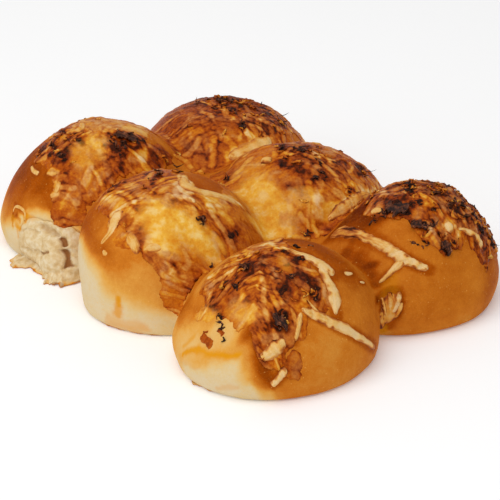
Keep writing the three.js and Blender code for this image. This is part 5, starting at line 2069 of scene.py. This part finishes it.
@dataclass
class TornLip:
    """The torn rim of the base crust below the torn side: a jagged flap, pale above and browned below.

    It runs from one u to another along the base's near rim. Its reaches, in millimetres, are spaced evenly.
    """

    canvas: Canvas
    start: float
    stop: float
    reach: tuple[float, ...]
    thick: float
    droop: float
    seed: int
    crumb: float
    inward: float = 1.5

    def shape(self, step: float = 0.35, across: int = 16) -> Shape:
        """The flap's shell: it runs along the near rim of the base and reaches outward by a jagged width.

        Args:
            step: distance between points along it, in millimetres.
            across: points across it.

        Returns:
            The shell.
        """
        along_u = np.linspace(self.start, self.stop, 200)
        rim = self.canvas.at_place(self.canvas.p, along_u, 0 * along_u - 101)[:, :2]
        length = np.hypot(*np.diff(rim, axis=0).T).sum()
        count = int(length / step) + 2
        pick = np.linspace(0, len(rim) - 1, count)
        middle = np.stack([np.interp(pick, np.arange(len(rim)), rim[:, axis]) for axis in (0, 1)], axis=-1)
        for _ in range(12):
            middle[1:-1] = (middle[:-2] + 2 * middle[1:-1] + middle[2:]) / 4
        s, a = np.linspace(0, 1, count)[:, None], np.linspace(0, 1, across)[None]
        along = np.stack([s[:, 0] * length, 0 * s[:, 0], 0 * s[:, 0] + self.seed], axis=-1)
        jag = 1 + 0.22 * layered(along, 5, 2, self.seed) + 0.14 * noise(along, 1.1, self.seed + 1)
        jag += 0.25 * noise(along, 2.3, self.seed + 8)
        reach = np.interp(s[:, 0], np.linspace(0, 1, len(self.reach)), self.reach)
        out = self.inward + np.maximum(reach * jag, 0.1)[:, None] * np.sin(math.pi * s) ** 0.25
        x, y = beside(middle, self.inward - out * a)
        place = np.stack([x, y, 0 * x + self.seed], axis=-1)
        thin = self.thick * (1 - 0.85 * a**1.5) * (0.7 + 0.4 * noise(place, 3, self.seed + 2))
        floor = 0.12 + self.droop * (1 - a) ** 1.3 + 0.25 * a * (1 + noise(place, 4, self.seed + 3))
        rough = 0.22 * layered(place, 2.4, 3, self.seed + 4) * (0.3 + a)
        top = np.stack([x, y, floor + np.maximum(thin + rough, 0.25)], axis=-1)
        bottom = np.stack([x, y, floor], axis=-1)
        pale = 1 - ramp(a + 0.3 * noise(place, 2.2, self.seed + 7), 0.6, 1.05)
        marks = {
            "bake": 0.14 + 0.5 * ramp(a + 0.4 * noise(place, 3, self.seed + 5), 0.96, 1.1),
            "oil": 0.3 * ramp(a + 0.5 * noise(place, 3, self.seed + 6), 0.6, 1.0),
            "crumb": np.minimum(self.crumb * pale, 1),
        }
        shape = shell(top, bottom, marks)
        under = len(shape.points) // 2
        shape.marks["crumb"][under:] = 0
        shape.marks["bake"][under:] = 0.7
        return shape


# ---- The studio ----


def direction(azimuth: float, elevation: float) -> Vector:
    """The way from the bread to a place at a turn and a height, both in degrees."""
    turn, tip = math.radians(azimuth), math.radians(elevation)
    return Vector((math.sin(turn) * math.cos(tip), -math.cos(turn) * math.cos(tip), math.sin(tip)))


@dataclass(frozen=True)
class Viewpoint:
    """The photographer's place, about a target in millimetres: turn, height and roll in degrees."""

    azimuth: float = 55.75
    elevation: float = 26.07
    roll: float = -2.03
    distance: float = 838.7
    target: tuple[float, float, float] = (28.3, -16.4, 23.0)
    lens: float = 156.41
    sensor: float = 36.0

    def set_up(self, shift: np.ndarray) -> None:
        """Makes the scene's camera."""
        back, roll = direction(self.azimuth, self.elevation), math.radians(self.roll)
        right = (-back).cross(Vector((0, 0, 1))).normalized()
        up = right.cross(-back)
        level = right * math.cos(roll) + up * math.sin(roll)
        upright = up * math.cos(roll) - right * math.sin(roll)
        made = bpy.data.cameras.new("photo_view")
        made.lens, made.sensor_width, made.clip_start, made.clip_end = self.lens, self.sensor, 0.01, 20
        camera = shown("photo_view", made)
        place = (Vector(self.target) + back * self.distance + Vector(shift)) * MM
        camera.matrix_world = Matrix.Translation(place) @ Matrix((level, upright, back)).transposed().to_4x4()
        bpy.context.scene.camera = camera


@dataclass(frozen=True)
class Lamp:
    """A soft square lamp: its turn and height in degrees, distance, side and power."""

    name: str
    azimuth: float
    elevation: float
    distance: float
    side: float
    power: float

    def set_up(self) -> None:
        """Hangs the lamp and aims it at the middle of the bread."""
        back = direction(self.azimuth, self.elevation)
        made = bpy.data.lights.new(self.name, "AREA")
        made.shape, made.size, made.energy = "SQUARE", self.side, self.power
        aim = back.to_track_quat("Z", "Y").to_matrix().to_4x4()
        shown(self.name, made).matrix_world = Matrix.Translation(back * self.distance) @ aim


@dataclass(frozen=True)
class Studio:
    """A white floor and white surroundings with soft lamps."""

    floor_side: float = 12.0
    floor_shade: float = 0.93
    floor_glow: float = 0.12
    ambient: float = 0.55
    lamps: tuple[Lamp, ...] = (
        Lamp("softbox_over", 20, 72, 1.3, 1.1, 7),
        Lamp("softbox_front", 5, 32, 1.6, 1.2, 4.5),
    )

    def surroundings(self) -> None:
        """White all around, but dimmer as a light than as the camera sees it."""
        world = bpy.data.worlds.new("white")
        world.use_nodes = True
        w = Wiring(world.node_tree)
        backdrop = next(node for node in world.node_tree.nodes if node.type == "BACKGROUND")
        seen = w.node("ShaderNodeLightPath").outputs["Is Camera Ray"]
        backdrop.inputs["Color"].default_value = (1, 1, 1, 1)
        w.put(backdrop.inputs["Strength"], w.math("MAXIMUM", seen, self.ambient))
        bpy.context.scene.world = world

    def floor(self) -> None:
        """A large pale floor under the bread."""
        made, w, shader = new_material("floor")
        point = w.node("ShaderNodeTexCoord").outputs["Object"]
        shade = w.between(w.noise(point, 400, 1), 0, 1, self.floor_shade - 0.01, self.floor_shade + 0.01)
        w.put(shader.inputs["Base Color"], w.mix(shade, (0, 0, 0, 1), (1, 1, 1, 1)))
        shader.inputs["Roughness"].default_value = 0.9
        shader.inputs["Specular IOR Level"].default_value = 0.1
        shader.inputs["Emission Color"].default_value = (1, 1, 1, 1)
        shader.inputs["Emission Strength"].default_value = self.floor_glow
        half = 0.5 * self.floor_side
        mesh = bpy.data.meshes.new("floor")
        corners = [(-half, -half, 0), (half, -half, 0), (half, half, 0), (-half, half, 0)]
        mesh.from_pydata(corners, [], [(0, 1, 2, 3)])
        mesh.materials.append(made)
        shown("floor", mesh)

    def set_up(self) -> None:
        """Makes all of it, and shows colours as they are."""
        self.surroundings()
        self.floor()
        for lamp in self.lamps:
            lamp.set_up()
        bpy.context.scene.view_settings.view_transform = "Standard"


# ---- The batch ----


@dataclass
class Batch:
    """The whole batch: the bread, its cheese, onion and torn places."""

    dough: Dough = field(default_factory=Dough)
    workshop: Workshop = field(default_factory=Workshop)
    shreds: tuple[Shred, ...] = SHREDS
    onions: tuple[OnionPiece, ...] = ONIONS

    def build(self) -> None:
        """Builds and dresses every piece."""
        canvas = Canvas(self.dough)
        for shred in (*self.shreds, *SMALL_SHREDS):
            # Painted shadow and browned crust around each shred, weaker on the middle roll and the curl.
            strength = 0.2 if "middle" in shred.node or "curl" in shred.node else 0.6
            canvas.shadow_and_browning_ring(np.array(shred.line, float), 0.5 * shred.width, strength)
        bread = Bread(canvas).shape()
        low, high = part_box("rolls")
        middle = 0.5 * (bread.points.min(axis=0) + bread.points.max(axis=0))
        self.workshop.shift = 0.5 * (np.array(low) + np.array(high)) / MM - middle
        self.workshop.shift[2] = 0
        make = self.workshop.make
        make("bread", bread, CRUST, ("rolls",))
        for roll in self.dough.rolls:
            make(f"melted_cheese_{roll}", CheeseSheet(canvas, roll).shape(), CHEESE)
        for shred in self.shreds:
            make(f"shred_{shred.node}", shred.shape(canvas), CHEESE, (shred.node,))
        for onion in self.onions:
            make(f"charred_{onion.node}", onion.shape(canvas), ONION, (onion.node,))
        self.small_pieces(canvas)
        self.torn_places(canvas)
        LOG.info("%d triangles in all", self.workshop.count)

    def small_pieces(self, canvas: Canvas) -> None:
        """Makes the strewn pieces, one joined mesh of each kind."""
        char, crisp, scorch = (canvas.looks[look] for look in (Look.CHAR, Look.CRISP, Look.SCORCH))
        burnt = ramp(char, 0.3, 0.9)
        brown = canvas.cover * np.maximum(crisp, 0.35 * scorch)
        calm = canvas.cover * (1 - crisp) * (1 - 0.8 * canvas.looks[Look.MELT])
        make = self.workshop.make
        flakes = Scatter(canvas, burnt, 150, (1.0, 3.6), (0.5, 1.5), 0.24, 0.8, 0.25, (0.15, 0.6), seed=2)
        make("onion_flakes", flakes.shape(), ONION)
        bits = Scatter(canvas, brown, 150, (1.6, 4.2), (1.0, 2.4), 0.4, 0.2, 0.07, (0.4, 0.8), 0.15, 3)
        make("crisp_cheese", bits.shape(), CHEESE)
        pale = Scatter(canvas, calm, 24, (2, 4), (1.0, 1.8), 0.35, 0.08, 0.04, (0.3, 0.5), 0, 4, 8, 5, 0.35)
        make("small_shreds", joined([pale.shape(), *(shred.shape(canvas) for shred in SMALL_SHREDS)]), CHEESE)
        make("onion_threads", Threads(canvas, WISPS).shape(), ONION)

    def torn_places(self, canvas: Canvas) -> None:
        """Makes the torn crumb and the torn rim of the base."""
        make = self.workshop.make
        make("torn_crumb", TornCrumb(canvas).shape(), CRUST)
        lips = (
            TornLip(canvas, -76, -42, (3, 7, 8.6, 9, 7.4, 5, 2.4), 2.6, 0.4, 81, 1.6),
            TornLip(canvas, -47, -31.5, (0.6, 1.6, 3.2, 5.8, 6.2, 3.4), 6, 0.8, 82, 5),
            TornLip(canvas, -30, -6, (1.2, 2.6, 1, 2.4, 0.9, 1.8, 1), 2.4, 0.5, 83, 0.9),
            TornLip(canvas, 62, 104, (0.6, 1.6, 2.6, 1.2, 2, 0.8), 1.1, 0.3, 85, 0.1),
            TornLip(canvas, -6, 34, (1, 0.6, 1.4, 0.8, 1.2, 0.5), 1.2, 0.3, 87, 0.5),
        )
        make("torn_rim", joined([lip.shape() for lip in lips]), CRUST)


def main() -> None:
    """Builds the batch and the studio."""
    logging.basicConfig(level=logging.INFO, format="%(message)s")
    batch = Batch()
    batch.build()
    Studio().set_up()
    Viewpoint().set_up(batch.workshop.shift)


if __name__ == "__main__":
    main()
